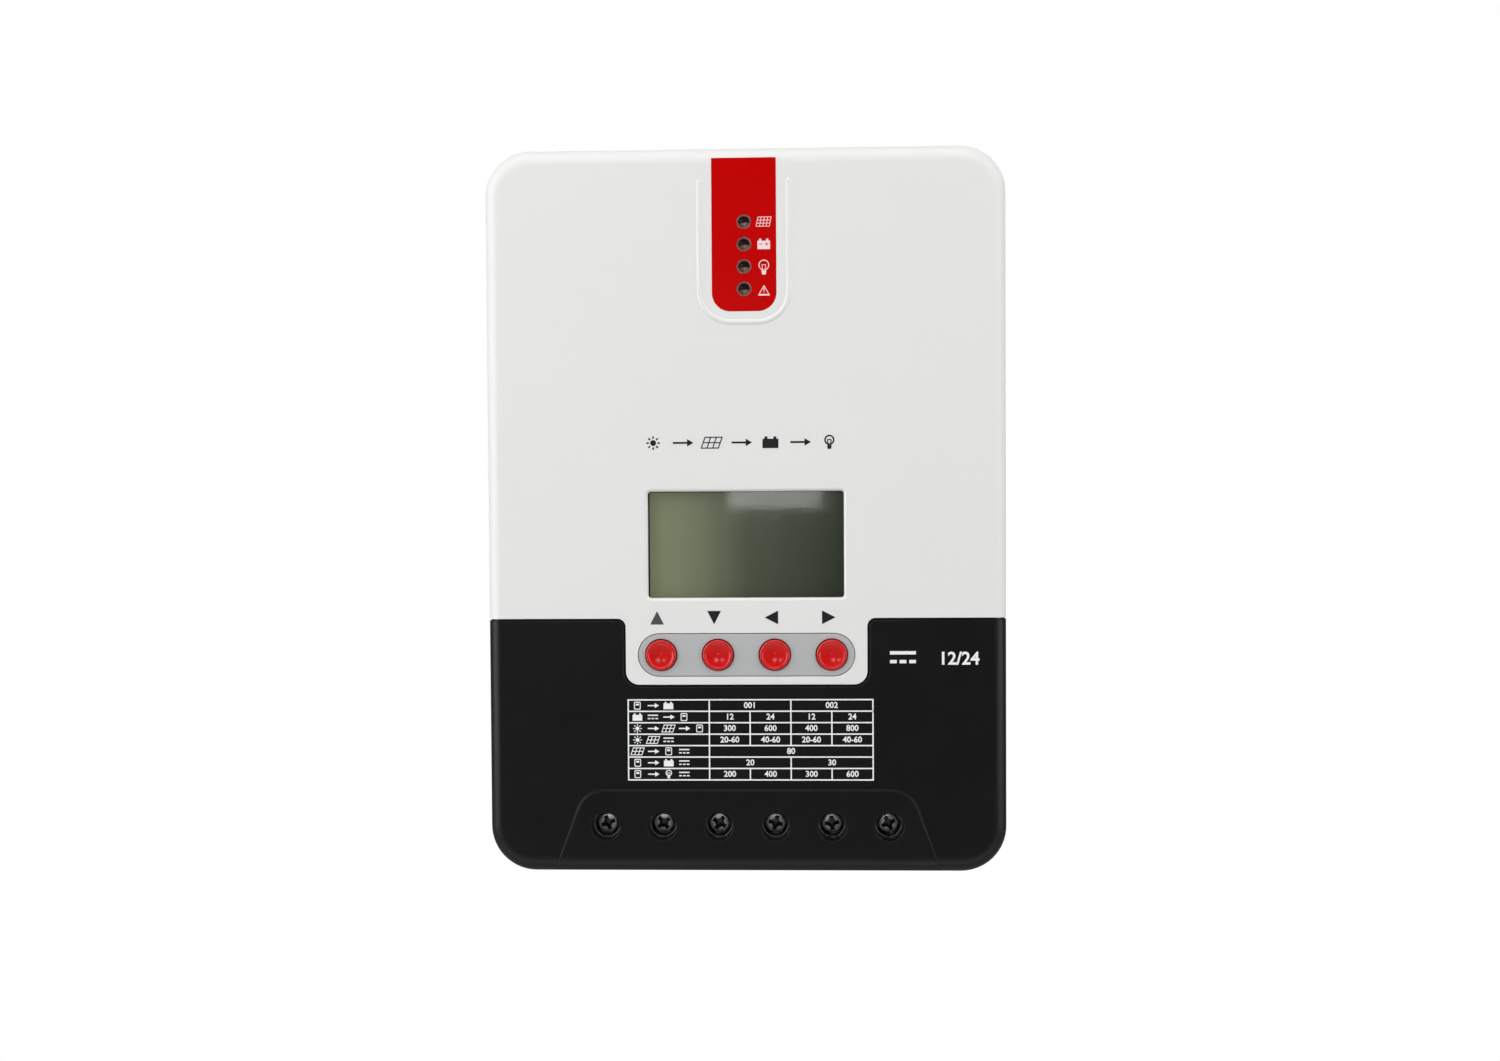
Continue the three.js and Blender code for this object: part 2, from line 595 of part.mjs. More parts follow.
// A keyhole whose slot runs upwards from its round entry, so the case hangs on a screw's head.
function keyhole(side, level) {
  const x = side * KEYHOLE.x;
  const z = level * KEYHOLE.z;
  const top = z + KEYHOLE.rise;
  return join(
    rod(KEYHOLE.entry, x, z - KEYHOLE.drop, -PAST, OVER, STEPS.hole),
    block([x - KEYHOLE.slot, x + KEYHOLE.slot], [-PAST, OVER], [z - KEYHOLE.drop, top]),
    rod(KEYHOLE.slot, x, top, -PAST, OVER, STEPS.small),
  );
}

function heatSink() {
  const baseRear = SINK.front + SINK.base;
  const plate = prismY(
    roundedRect([-CASE.rearWidth / 2, CASE.rearWidth / 2], [-CASE.rearHeight / 2, CASE.rearHeight / 2],
      SINK.corner),
    SINK.front, baseRear);
  const fins = finPlaces.map((x) => {
    const thick = x === 0 ? SINK.ribThick : SINK.finThick;
    const long = Math.abs(x) <= FINS.longUpTo ? FINS.longHalf : FINS.shortHalf;
    return block([x - thick / 2, x + thick / 2], [baseRear - BURY, 0], [-long, long]);
  });
  const corners = [[-1, -1], [-1, 1], [1, -1], [1, 1]];
  const posts = BOARD_POSTS.z.flatMap((z) => [-1, 1].map((side) =>
    rod(BOARD_POSTS.radius, side * BOARD_POSTS.x, z, MAIN_BOARD.front + MAIN_BOARD.thick + GAP,
      SINK.front + BURY, STEPS.small)));
  const screwHoles = [...COVER_SCREW.upper, ...COVER_SCREW.lower].flatMap((z) =>
    [-1, 1].flatMap((side) => [
      rod(COVER_SCREW.hole, side * COVER_SCREW.x, z, SINK.front - OVER, baseRear + OVER, STEPS.small),
      rod(COVER_SCREW.driver, side * COVER_SCREW.x, z, baseRear, OVER, STEPS.small),
    ]));
  return cut(
    join(plate, ...fins, ...corners.map(([side, level]) => foot(side, level)), ...posts),
    ...screwHoles,
    ...corners.map(([side, level]) => keyhole(side, level)),
  );
}

// A pan-head screw driven from the rear through the heat sink into a cover's boss.
function coverScrew() {
  const { head, shank, chamfer } = COVER_SCREW;
  const under = SINK.front + SINK.base + GAP;
  const rear = under + COVER_SCREW.headHeight;
  const tip = under - COVER_SCREW.length;
  const body = turned([
    [0, rear], [head - chamfer, rear], [head, rear - chamfer], [head, under], [shank, under],
    [shank, tip], [0, tip],
  ], STEPS.plain);
  return cut(body, ...crossRecess(COVER_SCREW, [rear - COVER_SCREW.slotDepth, rear + OVER]));
}

// ---------------------------------------------------------------- looks

const WHITE_PLASTIC = { color: 0xe4e4e2, roughness: 0.5, metalness: 0 };
const BLACK_PLASTIC = { color: 0x1a1c1c, roughness: 0.5, metalness: 0 };
const RED_FILM = { color: 0xc0080c, roughness: 0.25, metalness: 0 };
const RED_RUBBER = { color: 0xd71e1e, roughness: 0.4, metalness: 0 };
const GREY_PLASTIC = { color: 0xa0a5a7, roughness: 0.5, metalness: 0 };
const DARK_LENS = { color: 0x2a2a28, roughness: 0.2, metalness: 0 };
const CLEAR = { color: 0xdfe4e0, roughness: 0.05, metalness: 0, transparent: true, opacity: 0.35 };
const LCD_GLASS = { color: 0x66705a, roughness: 0.15, metalness: 0 };
const FRAME_PLASTIC = { color: 0xd8d8d0, roughness: 0.6, metalness: 0 };
const GREEN_BOARD = { color: 0x1c5a32, roughness: 0.45, metalness: 0 };
const SWITCH_PLASTIC = { color: 0x26262a, roughness: 0.5, metalness: 0 };
const STEEL = { color: 0x9a9a98, roughness: 0.35, metalness: 1 };
const COPPER_ALLOY = { color: 0xb89150, roughness: 0.35, metalness: 1 };
const ALUMINIUM = { color: 0xa9abad, roughness: 0.4, metalness: 1 };
const FERRITE = { color: 0x9c5a30, roughness: 0.4, metalness: 0.6 };
const CAN = { color: 0x22242c, roughness: 0.4, metalness: 0.2 };
const CABLE_GREY = { color: 0x8d9296, roughness: 0.6, metalness: 0 };

// ---------------------------------------------------------------- assembly

// A copy of a piece at a place in the front view.
function placed(name, body, look, x, z) {
  const mesh = piece(name, body, look);
  mesh.position.set(x, 0, z);
  return mesh;
}

function enclosure() {
  const group = new THREE.Group();
  group.add(
    piece("upper_cover", upperCover(), WHITE_PLASTIC),
    piece("lower_cover", lowerCover(), BLACK_PLASTIC),
    piece("heat_sink", heatSink(), ALUMINIUM),
  );
  const heights = [...COVER_SCREW.upper, ...COVER_SCREW.lower];
  heights.flatMap((z) => [[-COVER_SCREW.x, z], [COVER_SCREW.x, z]]).forEach(([x, z], i) =>
    group.add(placed(`cover_screw_${i + 1}`, coverScrew(), STEEL, x, z)));
  return group;
}

function indicators() {
  const group = new THREE.Group();
  group.add(
    piece("indicator_overlay", indicatorOverlay(), RED_FILM),
    piece("led_board", board(LED_BOARD), GREEN_BOARD),
  );
  ledHeights.forEach((z, i) => group.add(placed(`indicator_led_${i + 1}`, led(), DARK_LENS, 0, z)));
  return group;
}

function display() {
  return new THREE.Group().add(
    piece("display_window", displayWindow(), CLEAR),
    piece("lcd_panel", lcdPanel(), LCD_GLASS),
    piece("lcd_frame", lcdFrame(), FRAME_PLASTIC),
    piece("display_board", board(DISPLAY_BOARD), GREEN_BOARD),
    piece("display_cable", displayCable(), CABLE_GREY),
  );
}

function keypad() {
  const group = new THREE.Group().add(piece("keypad_bezel", keypadBezel(), GREY_PLASTIC));
  BUTTON_NAMES.forEach((name, i) => group.add(
    placed(`button_${name}`, button(), RED_RUBBER, buttonPlaces[i], BUTTON.z),
    placed(`switch_${name}`, tactSwitch(), SWITCH_PLASTIC, buttonPlaces[i], BUTTON.z),
    placed(`plunger_${name}`, plunger(), SWITCH_PLASTIC, buttonPlaces[i], BUTTON.z),
  ));
  return group;
}

function terminals() {
  const group = new THREE.Group().add(piece("terminal_housing", terminalHousing(), BLACK_PLASTIC));
  terminalPlaces.forEach((x, i) => group.add(
    placed(`terminal_screw_${i + 1}`, terminalScrew(), STEEL, x, TERMINAL.z),
    placed(`terminal_cage_${i + 1}`, terminalCage(), STEEL, x, TERMINAL.z),
    placed(`terminal_contact_${i + 1}`, terminalContact(), COPPER_ALLOY, x, TERMINAL.z),
  ));
  return group;
}

function electronics() {
  const group = new THREE.Group().add(
    piece("main_board", board(MAIN_BOARD), GREEN_BOARD),
    piece("data_port", port(DATA_PORT), BLACK_PLASTIC),
    piece("sensor_port", port(SENSOR_PORT), BLACK_PLASTIC),
    piece("power_inductor", powerInductor(), FERRITE),
  );
  CAPACITOR.x.forEach((x, i) =>
    group.add(placed(`bulk_capacitor_${i + 1}`, bulkCapacitor(), CAN, x, CAPACITOR.z)));
  TRANSISTOR.x.forEach((x, i) =>
    group.add(placed(`power_transistor_${i + 1}`, powerTransistor(), SWITCH_PLASTIC, x, TRANSISTOR.z)));
  return group;
}

const controller = new THREE.Group();
controller.name = "charge_controller";
controller.add(enclosure(), indicators(), display(), keypad(), terminals(), electronics());

export default controller;
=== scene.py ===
"""The looks of a wall-mounted solar charge controller, built round its CAD frame.

Shapes are drawn in millimetres in the frame's axes (X across, Z up, front towards -Y) and scaled to
metres once they are finished. Outlines are lists of (x, z) points, counter-clockwise.
"""

import math
from types import SimpleNamespace as Sizes

import bmesh
import bpy
from mathutils import Matrix, Vector


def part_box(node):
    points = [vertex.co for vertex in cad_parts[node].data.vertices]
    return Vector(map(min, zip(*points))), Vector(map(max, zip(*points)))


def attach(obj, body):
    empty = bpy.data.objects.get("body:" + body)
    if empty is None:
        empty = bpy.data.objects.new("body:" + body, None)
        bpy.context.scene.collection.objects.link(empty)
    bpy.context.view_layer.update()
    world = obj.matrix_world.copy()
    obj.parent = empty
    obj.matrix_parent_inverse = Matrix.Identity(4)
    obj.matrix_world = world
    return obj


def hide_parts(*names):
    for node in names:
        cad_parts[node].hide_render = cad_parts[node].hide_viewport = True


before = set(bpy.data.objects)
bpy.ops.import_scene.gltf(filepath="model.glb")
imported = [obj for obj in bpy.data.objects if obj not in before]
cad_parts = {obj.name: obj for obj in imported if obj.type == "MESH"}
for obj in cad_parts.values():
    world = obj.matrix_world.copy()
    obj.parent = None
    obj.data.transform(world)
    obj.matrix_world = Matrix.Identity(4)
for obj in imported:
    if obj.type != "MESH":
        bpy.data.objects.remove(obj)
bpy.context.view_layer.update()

MM = 0.001
QUARTER = math.pi / 2
RIGHT, UP = 0.0, QUARTER


def box_mm(node):
    """Lowest and highest corner of a CAD node, in millimetres."""
    low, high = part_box(node)
    return low / MM, high / MM


def centre_mm(node):
    low, high = box_mm(node)
    return (low + high) / 2


# ---- sizes, from the frame

upper_low, upper_high = box_mm("upper_cover")
PLATEAU_TOP = box_mm("lower_cover")[0].y
strip_low, strip_high = box_mm("indicator_overlay")
bezel_high = box_mm("keypad_bezel")[1]
window_low, window_high = box_mm("display_window")
panel_low, panel_high = box_mm("lcd_panel")
housing_low, housing_high = box_mm("terminal_housing")
BUTTON_NAMES = ("up", "down", "left", "right")
leds = [centre_mm(f"indicator_led_{i}") for i in range(1, 5)]
buttons = [centre_mm(f"button_{name}") for name in BUTTON_NAMES]
screws = [centre_mm(f"terminal_screw_{i}") for i in range(1, 7)]

FRONT = strip_low.y
CASE = Sizes(
    half_width=upper_high.x - 1.5, half_height=upper_high.z - 0.25,
    rear_half_width=upper_high.x, rear_half_height=upper_high.z,
    corner=15.0, edge=4.5, tall_edge=1.28, rim=0.4, wall=2.2, rear=upper_high.y,
)
SEAM = Sizes(z=-34.9, width=0.7, lip_inset=0.75, edge=0.25)
TONGUE = Sizes(half=39.5, bottom=upper_low.z, corner=4.4, shoulder=2.7)
STRIP = Sizes(half=strip_high.x, bottom=strip_low.z, top=strip_high.z + 0.5, corner=6.0, thick=0.5)
BEAD = Sizes(middle=14.5, half=0.95, height=0.36, buried=0.6, top=107.3, bottom=61.6)
WINDOW_MARGIN = 2.8  # from the window's edge to the opening in the cover
OPENING = Sizes(
    half=window_high.x - WINDOW_MARGIN, low=window_low.z + WINDOW_MARGIN,
    high=window_high.z - WINDOW_MARGIN, corner=1.0, lip=1.0,
)
BEZEL_FLANGE = 1.8
PILL = Sizes(
    half=bezel_high.x - BEZEL_FLANGE, radius=bezel_high.z - buttons[0].z - BEZEL_FLANGE,
    z=buttons[0].z, gap=0.25, flange_front=-68.7,
)
BUTTON = Sizes(radius=4.95, hole=5.28, rim=0.95, step=0.2, dish=0.85, flange=6.3)
LED = Sizes(
    hole=2.3, film_hole=2.45, lens=1.9, collar_inner=1.95, collar_outer=2.28, collar_set_back=0.18,
)
PLATEAU = Sizes(top=-91.1, half=53.4, spread=0.361, corner=9.5, flank=0.9)
TERMINAL = Sizes(
    access=4.65, well=4.0, entry_half=5.7, entry_front=-57.5, entry_rear=-43.5, entry_depth=3.0,
)
HOUSING = Sizes(
    block_front=-66.5, nose_half=54, nose_low=-110.5, nose_high=-95.6, nose_rear=-66,
    mouth_wider=0.6, mouth_depth=1.4, mouth_lip=0.5, shoulder=-64.7, bore=2.8,
    cell_half=6.2, cell_front=-62.3, cell_rear=-42.8, cell_top=-96.5,
    slot_half=4.2, slot_low=-97, slot_high=-90, slot_front=-53.8, slot_rear=-51.2,
)
SCREW = Sizes(head=3.25, under=-65.0, shank=2.5, thread=0.4, pitch=0.8, recess=2.25)
INK = 0.03  # height of a printed mark


# ---- outlines

def arc(cx, cz, radius, start, end, steps):
    """Points on a circle from one angle to another, both ends included."""
    angles = [start + (end - start) * i / steps for i in range(steps + 1)]
    return [(cx + radius * math.cos(a), cz + radius * math.sin(a)) for a in angles]


def circle(x, z, radius, steps=48):
    return arc(x, z, radius, 0, 4 * QUARTER, steps)[:-1]


def rounded_rect(x0, x1, z0, z1, radius, steps=8):
    corners = ((x1 - radius, z0 + radius, -1), (x1 - radius, z1 - radius, 0),
               (x0 + radius, z1 - radius, 1), (x0 + radius, z0 + radius, 2))
    return [p for cx, cz, q in corners
            for p in arc(cx, cz, radius, q * QUARTER, (q + 1) * QUARTER, steps)]


def pill(grow, steps=24):
    radius = PILL.radius + grow
    half = PILL.half + grow - radius
    return (arc(half, PILL.z, radius, -QUARTER, QUARTER, steps)
            + arc(-half, PILL.z, radius, QUARTER, 3 * QUARTER, steps))


def display_opening(grow, steps=10):
    return rounded_rect(-OPENING.half - grow, OPENING.half + grow, OPENING.low - grow,
                        OPENING.high + grow, OPENING.corner + grow, steps)


def strip(grow, steps=16):
    """Square at the top, round at the bottom."""
    half, radius = STRIP.half + grow, STRIP.corner + grow
    low, high = STRIP.bottom - grow, STRIP.top + grow
    return (arc(-half + radius, low + radius, radius, 2 * QUARTER, 3 * QUARTER, steps)
            + arc(half - radius, low + radius, radius, 3 * QUARTER, 4 * QUARTER, steps)
            + [(half, high), (-half, high)])


def above_seam(grow, steps=12):
    """Everything above the seam, with the tongue that dips round the keypad."""
    far = 2 * CASE.half_height
    half, seam, bottom = TONGUE.half + grow, SEAM.z - grow, TONGUE.bottom - grow
    shoulder, corner = TONGUE.shoulder - grow, TONGUE.corner + grow
    return ([(-far, far), (-far, seam)]
            + arc(-half - shoulder, seam - shoulder, shoulder, QUARTER, 0, steps)
            + arc(-half + corner, bottom + corner, corner, 2 * QUARTER, 3 * QUARTER, steps)
            + arc(half - corner, bottom + corner, corner, 3 * QUARTER, 4 * QUARTER, steps)
            + arc(half + shoulder, seam - shoulder, shoulder, 2 * QUARTER, QUARTER, steps)
            + [(far, seam), (far, far)])


def plateau(grow, steps=14):
    """The raised field's trapezium, grown outwards, running off below the case."""
    lean = math.atan(PLATEAU.spread)
    slope = math.hypot(1, PLATEAU.spread) - PLATEAU.spread
    centre = PLATEAU.half - PLATEAU.corner * slope
    z = PLATEAU.top - PLATEAU.corner
    radius = PLATEAU.corner + grow
    low = -CASE.half_height - 12
    foot_x = centre + radius * math.cos(lean)
    foot_x += (z + radius * math.sin(lean) - low) * PLATEAU.spread
    return ([(-foot_x, low), (foot_x, low)]
            + arc(centre, z, radius, lean, QUARTER, steps)
            + arc(-centre, z, radius, QUARTER, 2 * QUARTER - lean, steps))


# ---- solids

def new_object(name, mesh):
    obj = bpy.data.objects.new(name, mesh)
    bpy.context.scene.collection.objects.link(obj)
    return obj


def from_bmesh(name, bm):
    """A new object with the bmesh's shape. The bmesh is used up."""
    mesh = bpy.data.meshes.new(name)
    bm.to_mesh(mesh)
    bm.free()
    return new_object(name, mesh)


def band(bm, a, b):
    """Faces between two closed rows of vertices."""
    for i in range(len(a)):
        j = (i + 1) % len(a)
        bm.faces.new((a[i], a[j], b[j], b[i]))


def loft(name, rings):
    """A closed solid through rings of (x, y, z) points, with a flat cap on each end."""
    bm = bmesh.new()
    rows = [[bm.verts.new(p) for p in ring] for ring in rings]
    for a, b in zip(rows, rows[1:]):
        band(bm, a, b)
    bm.faces.new(rows[0][::-1])
    bm.faces.new(rows[-1])
    bmesh.ops.recalc_face_normals(bm, faces=bm.faces)
    return from_bmesh(name, bm)


def at_depth(outline, y):
    return [(x, y, z) for x, z in outline]


def prism(name, outline, front, rear):
    return loft(name, [at_depth(outline, front), at_depth(outline, rear)])


def quarter_round(radius, steps):
    """(inset, depth) pairs round an edge, from the face to the wall."""
    angles = [QUARTER * i / steps for i in range(steps + 1)]
    return [(radius * (1 - math.sin(a)), radius * (1 - math.cos(a))) for a in angles]


def flared(name, outline, front, rear, lip, sign=1, base=0.0, steps=5):
    """A cutter whose mouth widens by a rounded lip at a face, or narrows with sign -1."""
    rings = [at_depth(outline(base + sign * lip), front - 2)]
    for inset, depth in quarter_round(lip, steps):
        rings.append(at_depth(outline(base + sign * inset), front + depth))
    rings.append(at_depth(outline(base), rear))
    return loft(name, rings)


def round_holes(centres, radius, front, rear, lip, steps=5, sides=48):
    """A flared round cutter at each centre, all in one."""
    return merged("holes", [
        flared("hole", lambda grow, c=c: circle(c.x, c.z, radius + grow, sides),
               front, rear, lip, steps=steps)
        for c in centres])


def turned(name, profile, x, z, steps=64):
    """(radius, y) points turned about a line along Y. One that starts off the axis makes a ring."""
    bm = bmesh.new()
    rows = []
    for radius, y in profile:
        if radius < 1e-6:
            rows.append([bm.verts.new((x, y, z))])
        else:
            rows.append([bm.verts.new((px, y, pz)) for px, pz in circle(x, z, radius, steps)])
    closing = [] if len(rows[0]) == 1 or len(rows[-1]) == 1 else [rows[0]]
    for a, b in zip(rows, rows[1:] + closing):
        for i in range(steps):
            j = (i + 1) % steps
            corners = (a[i % len(a)], a[j % len(a)], b[j % len(b)], b[i % len(b)])
            bm.faces.new(list(dict.fromkeys(corners)))
    bmesh.ops.recalc_face_normals(bm, faces=bm.faces)
    return from_bmesh(name, bm)


def merged(name, objects):
    """One object holding the meshes of several that don't overlap."""
    bm = bmesh.new()
    for obj in objects:
        bm.from_mesh(obj.data)
        bpy.data.objects.remove(obj)
    return from_bmesh(name, bm)


def configured(thing, settings):
    for key, value in settings.items():
        setattr(thing, key, value)
    return thing


def modify(obj, name, kind, **settings):
    return configured(obj.modifiers.new(name, kind), settings)


def combine(obj, tool, operation):
    """A boolean of two solids, applied. The tool is used up."""
    modify(obj, "combine", "BOOLEAN", object=tool, operation=operation, solver="EXACT")
    shape = obj.evaluated_get(bpy.context.evaluated_depsgraph_get())
    mesh = bpy.data.meshes.new_from_object(shape)
    obj.modifiers.clear()
    obj.data = mesh
    bpy.data.objects.remove(tool)
    return obj


def cut(obj, *tools):
    for tool in tools:
        combine(obj, tool, "DIFFERENCE")
    return obj


def join(obj, *tools):
    for tool in tools:
        combine(obj, tool, "UNION")
    return obj


def shade(obj, crease=30):
    """Smooth shading that keeps edges sharper than an angle, with flat faces left flat."""
    bm = bmesh.new()
    bm.from_mesh(obj.data)
    bmesh.ops.remove_doubles(bm, verts=bm.verts, dist=1e-7)
    for face in bm.faces:
        face.smooth = True
    for edge in bm.edges:
        edge.smooth = len(edge.link_faces) == 2 and edge.calc_face_angle(0) < math.radians(crease)
    bm.to_mesh(obj.data)
    bm.free()
    modify(obj, "weighted_normals", "WEIGHTED_NORMAL", keep_sharp=True, weight=80)


def settle(obj, body, look, replaces=(), crease=30):
    """Scales a finished piece to metres, dresses it and hands it to its body."""
    obj.data.transform(Matrix.Scale(MM, 4))
    obj.data.materials.clear()
    obj.data.materials.append(look)
    shade(obj, crease)
    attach(obj, body)
    if replaces:
        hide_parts(*replaces)


# ---- the case

def case_ring(inset, y, steps, away=0.0):
    """The case's outline at a depth: it widens slightly from the front to the rear.

    An edge that falls away takes more of the top and bottom than of the sides."""
    t = (y - FRONT) / (CASE.rear - FRONT)
    wide = 1 + (CASE.rear_half_width / CASE.half_width - 1) * t
    tall = 1 + (CASE.rear_half_height / CASE.half_height - 1) * t
    half_x = CASE.half_width - inset - away
    half_z = CASE.half_height - inset - CASE.tall_edge * away
    outline = rounded_rect(-half_x, half_x, -half_z, half_z, CASE.corner - inset - away, steps)
    return [(x * wide, y, z * tall) for x, z in outline]


def case_block(name, inset=0.0, shift=0.0, past=0.0, steps=16, edge_steps=8):
    front = FRONT + inset + shift
    rings = [case_ring(inset, front + depth, steps, away)
             for away, depth in quarter_round(CASE.edge - inset, edge_steps)]
    if past:
        rings.append(case_ring(inset, CASE.rear + past, steps))
    else:
        rings += [case_ring(inset + away, CASE.rear - depth, steps)
                  for away, depth in reversed(quarter_round(CASE.rim, 3))]
    return loft(name, rings)


def case_inside():
    return case_block("inside", inset=CASE.wall, past=2, steps=8, edge_steps=3)


def bead():
    """The U-shaped bead round the indicator strip: a low rounded ridge with round ends."""
    centre = STRIP.half - STRIP.corner
    radius = BEAD.middle - centre
    bend = BEAD.bottom + radius
    path = ([(-BEAD.middle, BEAD.top)]
            + arc(-centre, bend, radius, 2 * QUARTER, 3 * QUARTER, 20)
            + arc(centre, bend, radius, 3 * QUARTER, 4 * QUARTER, 20)
            + [(BEAD.middle, BEAD.top)])
    path = [Vector(point) for point in path]
    up, tapers = Vector((0, 1)), [QUARTER * i / 4 for i in range(4)]

    def end_ring(point, along, fullness):
        return bead_ring(point + up * BEAD.half * (1 - math.sin(fullness)), along, fullness)

    rings = [end_ring(path[0], -up, fullness) for fullness in tapers]
    for i, point in enumerate(path):
        before, after = path[max(i - 1, 0)], path[min(i + 1, len(path) - 1)]
        rings.append(bead_ring(point, (after - before).normalized(), QUARTER))
    rings += [end_ring(path[-1], up, fullness) for fullness in reversed(tapers)]
    return loft("bead", rings)


def bead_ring(point, along, fullness):
    """A cross-section of the bead, narrowed towards its ends. Its edges sink under the face."""
    across = Vector((-along.y, along.x))
    share = max(math.sin(fullness), 0.15)
    steps, sunk = 8, 0.02
    section = []
    for s in [-1 + 2 * i / steps for i in range(steps + 1)]:
        section.append((s, sunk - BEAD.height * share * (1 - s * s)))
    ring = []
    for s, depth in section + [(1, BEAD.buried), (-1, BEAD.buried)]:
        place = point + across * (s * BEAD.half * share)
        ring.append((place.x, FRONT + depth, place.y))
    return ring


def upper_cover(look):
    cover = cut(case_block("white_cover"), case_inside())
    region = flared("region", above_seam, FRONT, 0, SEAM.edge, sign=-1)
    combine(cover, region, "INTERSECT")
    join(cover, bead())
    through = FRONT + 6
    led_holes = [prism("hole", circle(led.x, led.z, LED.hole), FRONT - 1, through) for led in leds]
    cut(
        cover,
        flared("display_hole", display_opening, FRONT, through, OPENING.lip, steps=8),
        flared("strip_recess", strip, FRONT, FRONT + STRIP.thick + 0.3, 0.12, base=0.04, steps=3),
        flared("pill_hole", pill, FRONT, through, 0.12, base=PILL.gap, steps=3),
        merged("led_holes", led_holes),
    )
    settle(cover, "case", look, ["upper_cover"])


def raised_field():
    """The plateau round the terminals: flat top, rounded crest, sloped flank, rounded foot."""
    height = FRONT - PLATEAU_TOP
    half = PLATEAU.flank / 2
    crest = [(0.1, 0.01), (0.22, 0.07), (0.32, 0.19)]
    profile = [(-half, 0)] + [(out - half, down) for out, down in crest]
    profile += [(half - out, height - down) for out, down in reversed(crest)]
    profile += [(half, height + 0.02), (half, height + 1)]
    field = loft("field", [at_depth(plateau(grow), PLATEAU_TOP + depth) for grow, depth in profile])
    combine(field, case_block("raised_case", shift=-height, past=1), "INTERSECT")
    return field


def side_entry(name, x0, x1, y0, y1, corner, lip, depth):
    """A rounded rectangular cutter into the bottom face, with a rounded mouth."""
    bottom = -CASE.half_height - 0.1
    rings = []
    for grow, rise in [(lip, -2.0)] + quarter_round(lip, 4) + [(0.0, depth)]:
        outline = rounded_rect(x0 - grow, x1 + grow, y0 - grow, y1 + grow, corner + grow, 6)
        rings.append([(x, y, bottom + rise) for x, y in outline])
    return loft(name, rings)


def lower_cover(look):
    cover = cut(case_block("black_cover"), case_inside())
    cut(cover, flared("region", above_seam, FRONT, 0, 0.4, base=SEAM.width))
    join(cover, seam_lip(), raised_field())
    t = TERMINAL
    entries = [side_entry("entry", s.x - t.entry_half, s.x + t.entry_half,
                          t.entry_front, t.entry_rear, 1.5, 0.6, t.entry_depth) for s in screws]
    ports = [port_hole(name) for name in ("data_port", "sensor_port")]
    access = round_holes(screws, t.access, PLATEAU_TOP, FRONT + 4, 0.3)
    cut(cover, access, merged("entries", entries + ports))
    settle(cover, "case", look, ["lower_cover"])


def port_hole(node):
    """A cutter for a port's opening, which leaves the edges of its socket covered."""
    low, high = box_mm(node)
    side, wall = 1.0, 1.3
    return side_entry("port", low.x + side, high.x - side, low.y + wall, high.y - wall,
                      0.5, 0.3, TERMINAL.entry_depth)


def seam_lip():
    """The recessed lip that fills the groove between the covers."""
    lip = case_block("lip", inset=SEAM.lip_inset, past=-0.5, steps=12, edge_steps=5)
    cut(lip, case_inside())
    ring = prism("ring", above_seam(SEAM.width + 0.5), FRONT - 5, 0)
    cut(ring, prism("inner", above_seam(0.06), FRONT - 6, 1))
    return combine(lip, ring, "INTERSECT")


# ---- display, indicators and keypad

def trim(z, width, height):
    """A cutter for what a flared piece has in front of the face."""
    return prism("trim", rect(0, z, width, height), FRONT - 5, FRONT)


def overlay(look):
    sheet = flared("red_overlay", strip, FRONT, FRONT + STRIP.thick, 0.1, sign=-1, steps=3)
    holes = round_holes(leds, LED.film_hole, FRONT, FRONT + 2, 0.08, steps=2)
    cut(sheet, trim(100, 100, 200), holes)
    settle(sheet, "case", look, ["indicator_overlay"])


def led_lens(index, looks):
    """The lamp's domed lens, with the clear collar that lines its hole."""
    centre, node = leds[index], f"indicator_led_{index + 1}"
    low, high = box_mm(node)
    rise, foot = 0.75, high.x - centre.x
    dome = [(LED.lens * math.sin(a), low.y + rise - rise * math.cos(a))
            for a in [QUARTER * i / 8 for i in range(9)]]
    profile = dome + [(LED.lens, high.y - 1), (foot, high.y - 1), (foot, high.y), (0, high.y)]
    lens = turned(f"led_lens_{index + 1}", profile, centre.x, centre.z, 40)
    settle(lens, "case", looks["led_tinted_painted_light"], [node])
    front, inner, outer = FRONT + LED.collar_set_back, LED.collar_inner, LED.collar_outer
    section = [(inner, front + 1.4), (outer, front + 1.4), (outer, front + 0.12),
               (outer - 0.08, front), (inner + 0.14, front + 0.03), (inner, front + 0.2)]
    collar = turned(f"led_collar_{index + 1}", section, centre.x, centre.z, 40)
    settle(collar, "case", looks["led_collar"])


def inset_rect(low, high, inset, corner, steps=8):
    """A rounded rectangle inside the corners of a node's box."""
    return rounded_rect(low.x + inset, high.x - inset, low.z + inset, high.z - inset, corner, steps)


def glass_plate(name, low, high, edge, corner, front_corner):
    """A plate that fills a node's box, with a bevel round its front face."""
    outline = inset_rect(low, high, 0, corner)
    return loft(name, [at_depth(inset_rect(low, high, edge, front_corner), low.y),
                       at_depth(outline, low.y + edge), at_depth(outline, high.y)])


def display_glass(looks):
    pane = glass_plate("window_pane", window_low, window_high, 0.25, 1.2, 1.0)
    settle(pane, "case", looks["clear_pane"], ["display_window"])
    glass = glass_plate("lcd_glass", panel_low, panel_high, 0.2, 0.6, 0.5)
    settle(glass, "case", looks["lcd_painted_reflection"], ["lcd_panel"])


def display_border_and_painted_shade(look):
    """The black border printed on the display's glass. It shows inside the opening only on the left
    and at the top, where it stands in for the shade of the opening's walls: partly print, partly
    painted shade.
    """
    outer = inset_rect(panel_low, panel_high, 0.4, 0.3, 2)
    # the inner edge shows inside the opening on the left and top only: painted shade along those
    # walls
    inner = rounded_rect(-OPENING.half + 0.35, OPENING.half + 0.3,
                         OPENING.low - 0.3, OPENING.high - 0.25, 0.2, 2)
    marks("display_border_and_painted_shade", [(outer, inner)], panel_low.y, look)


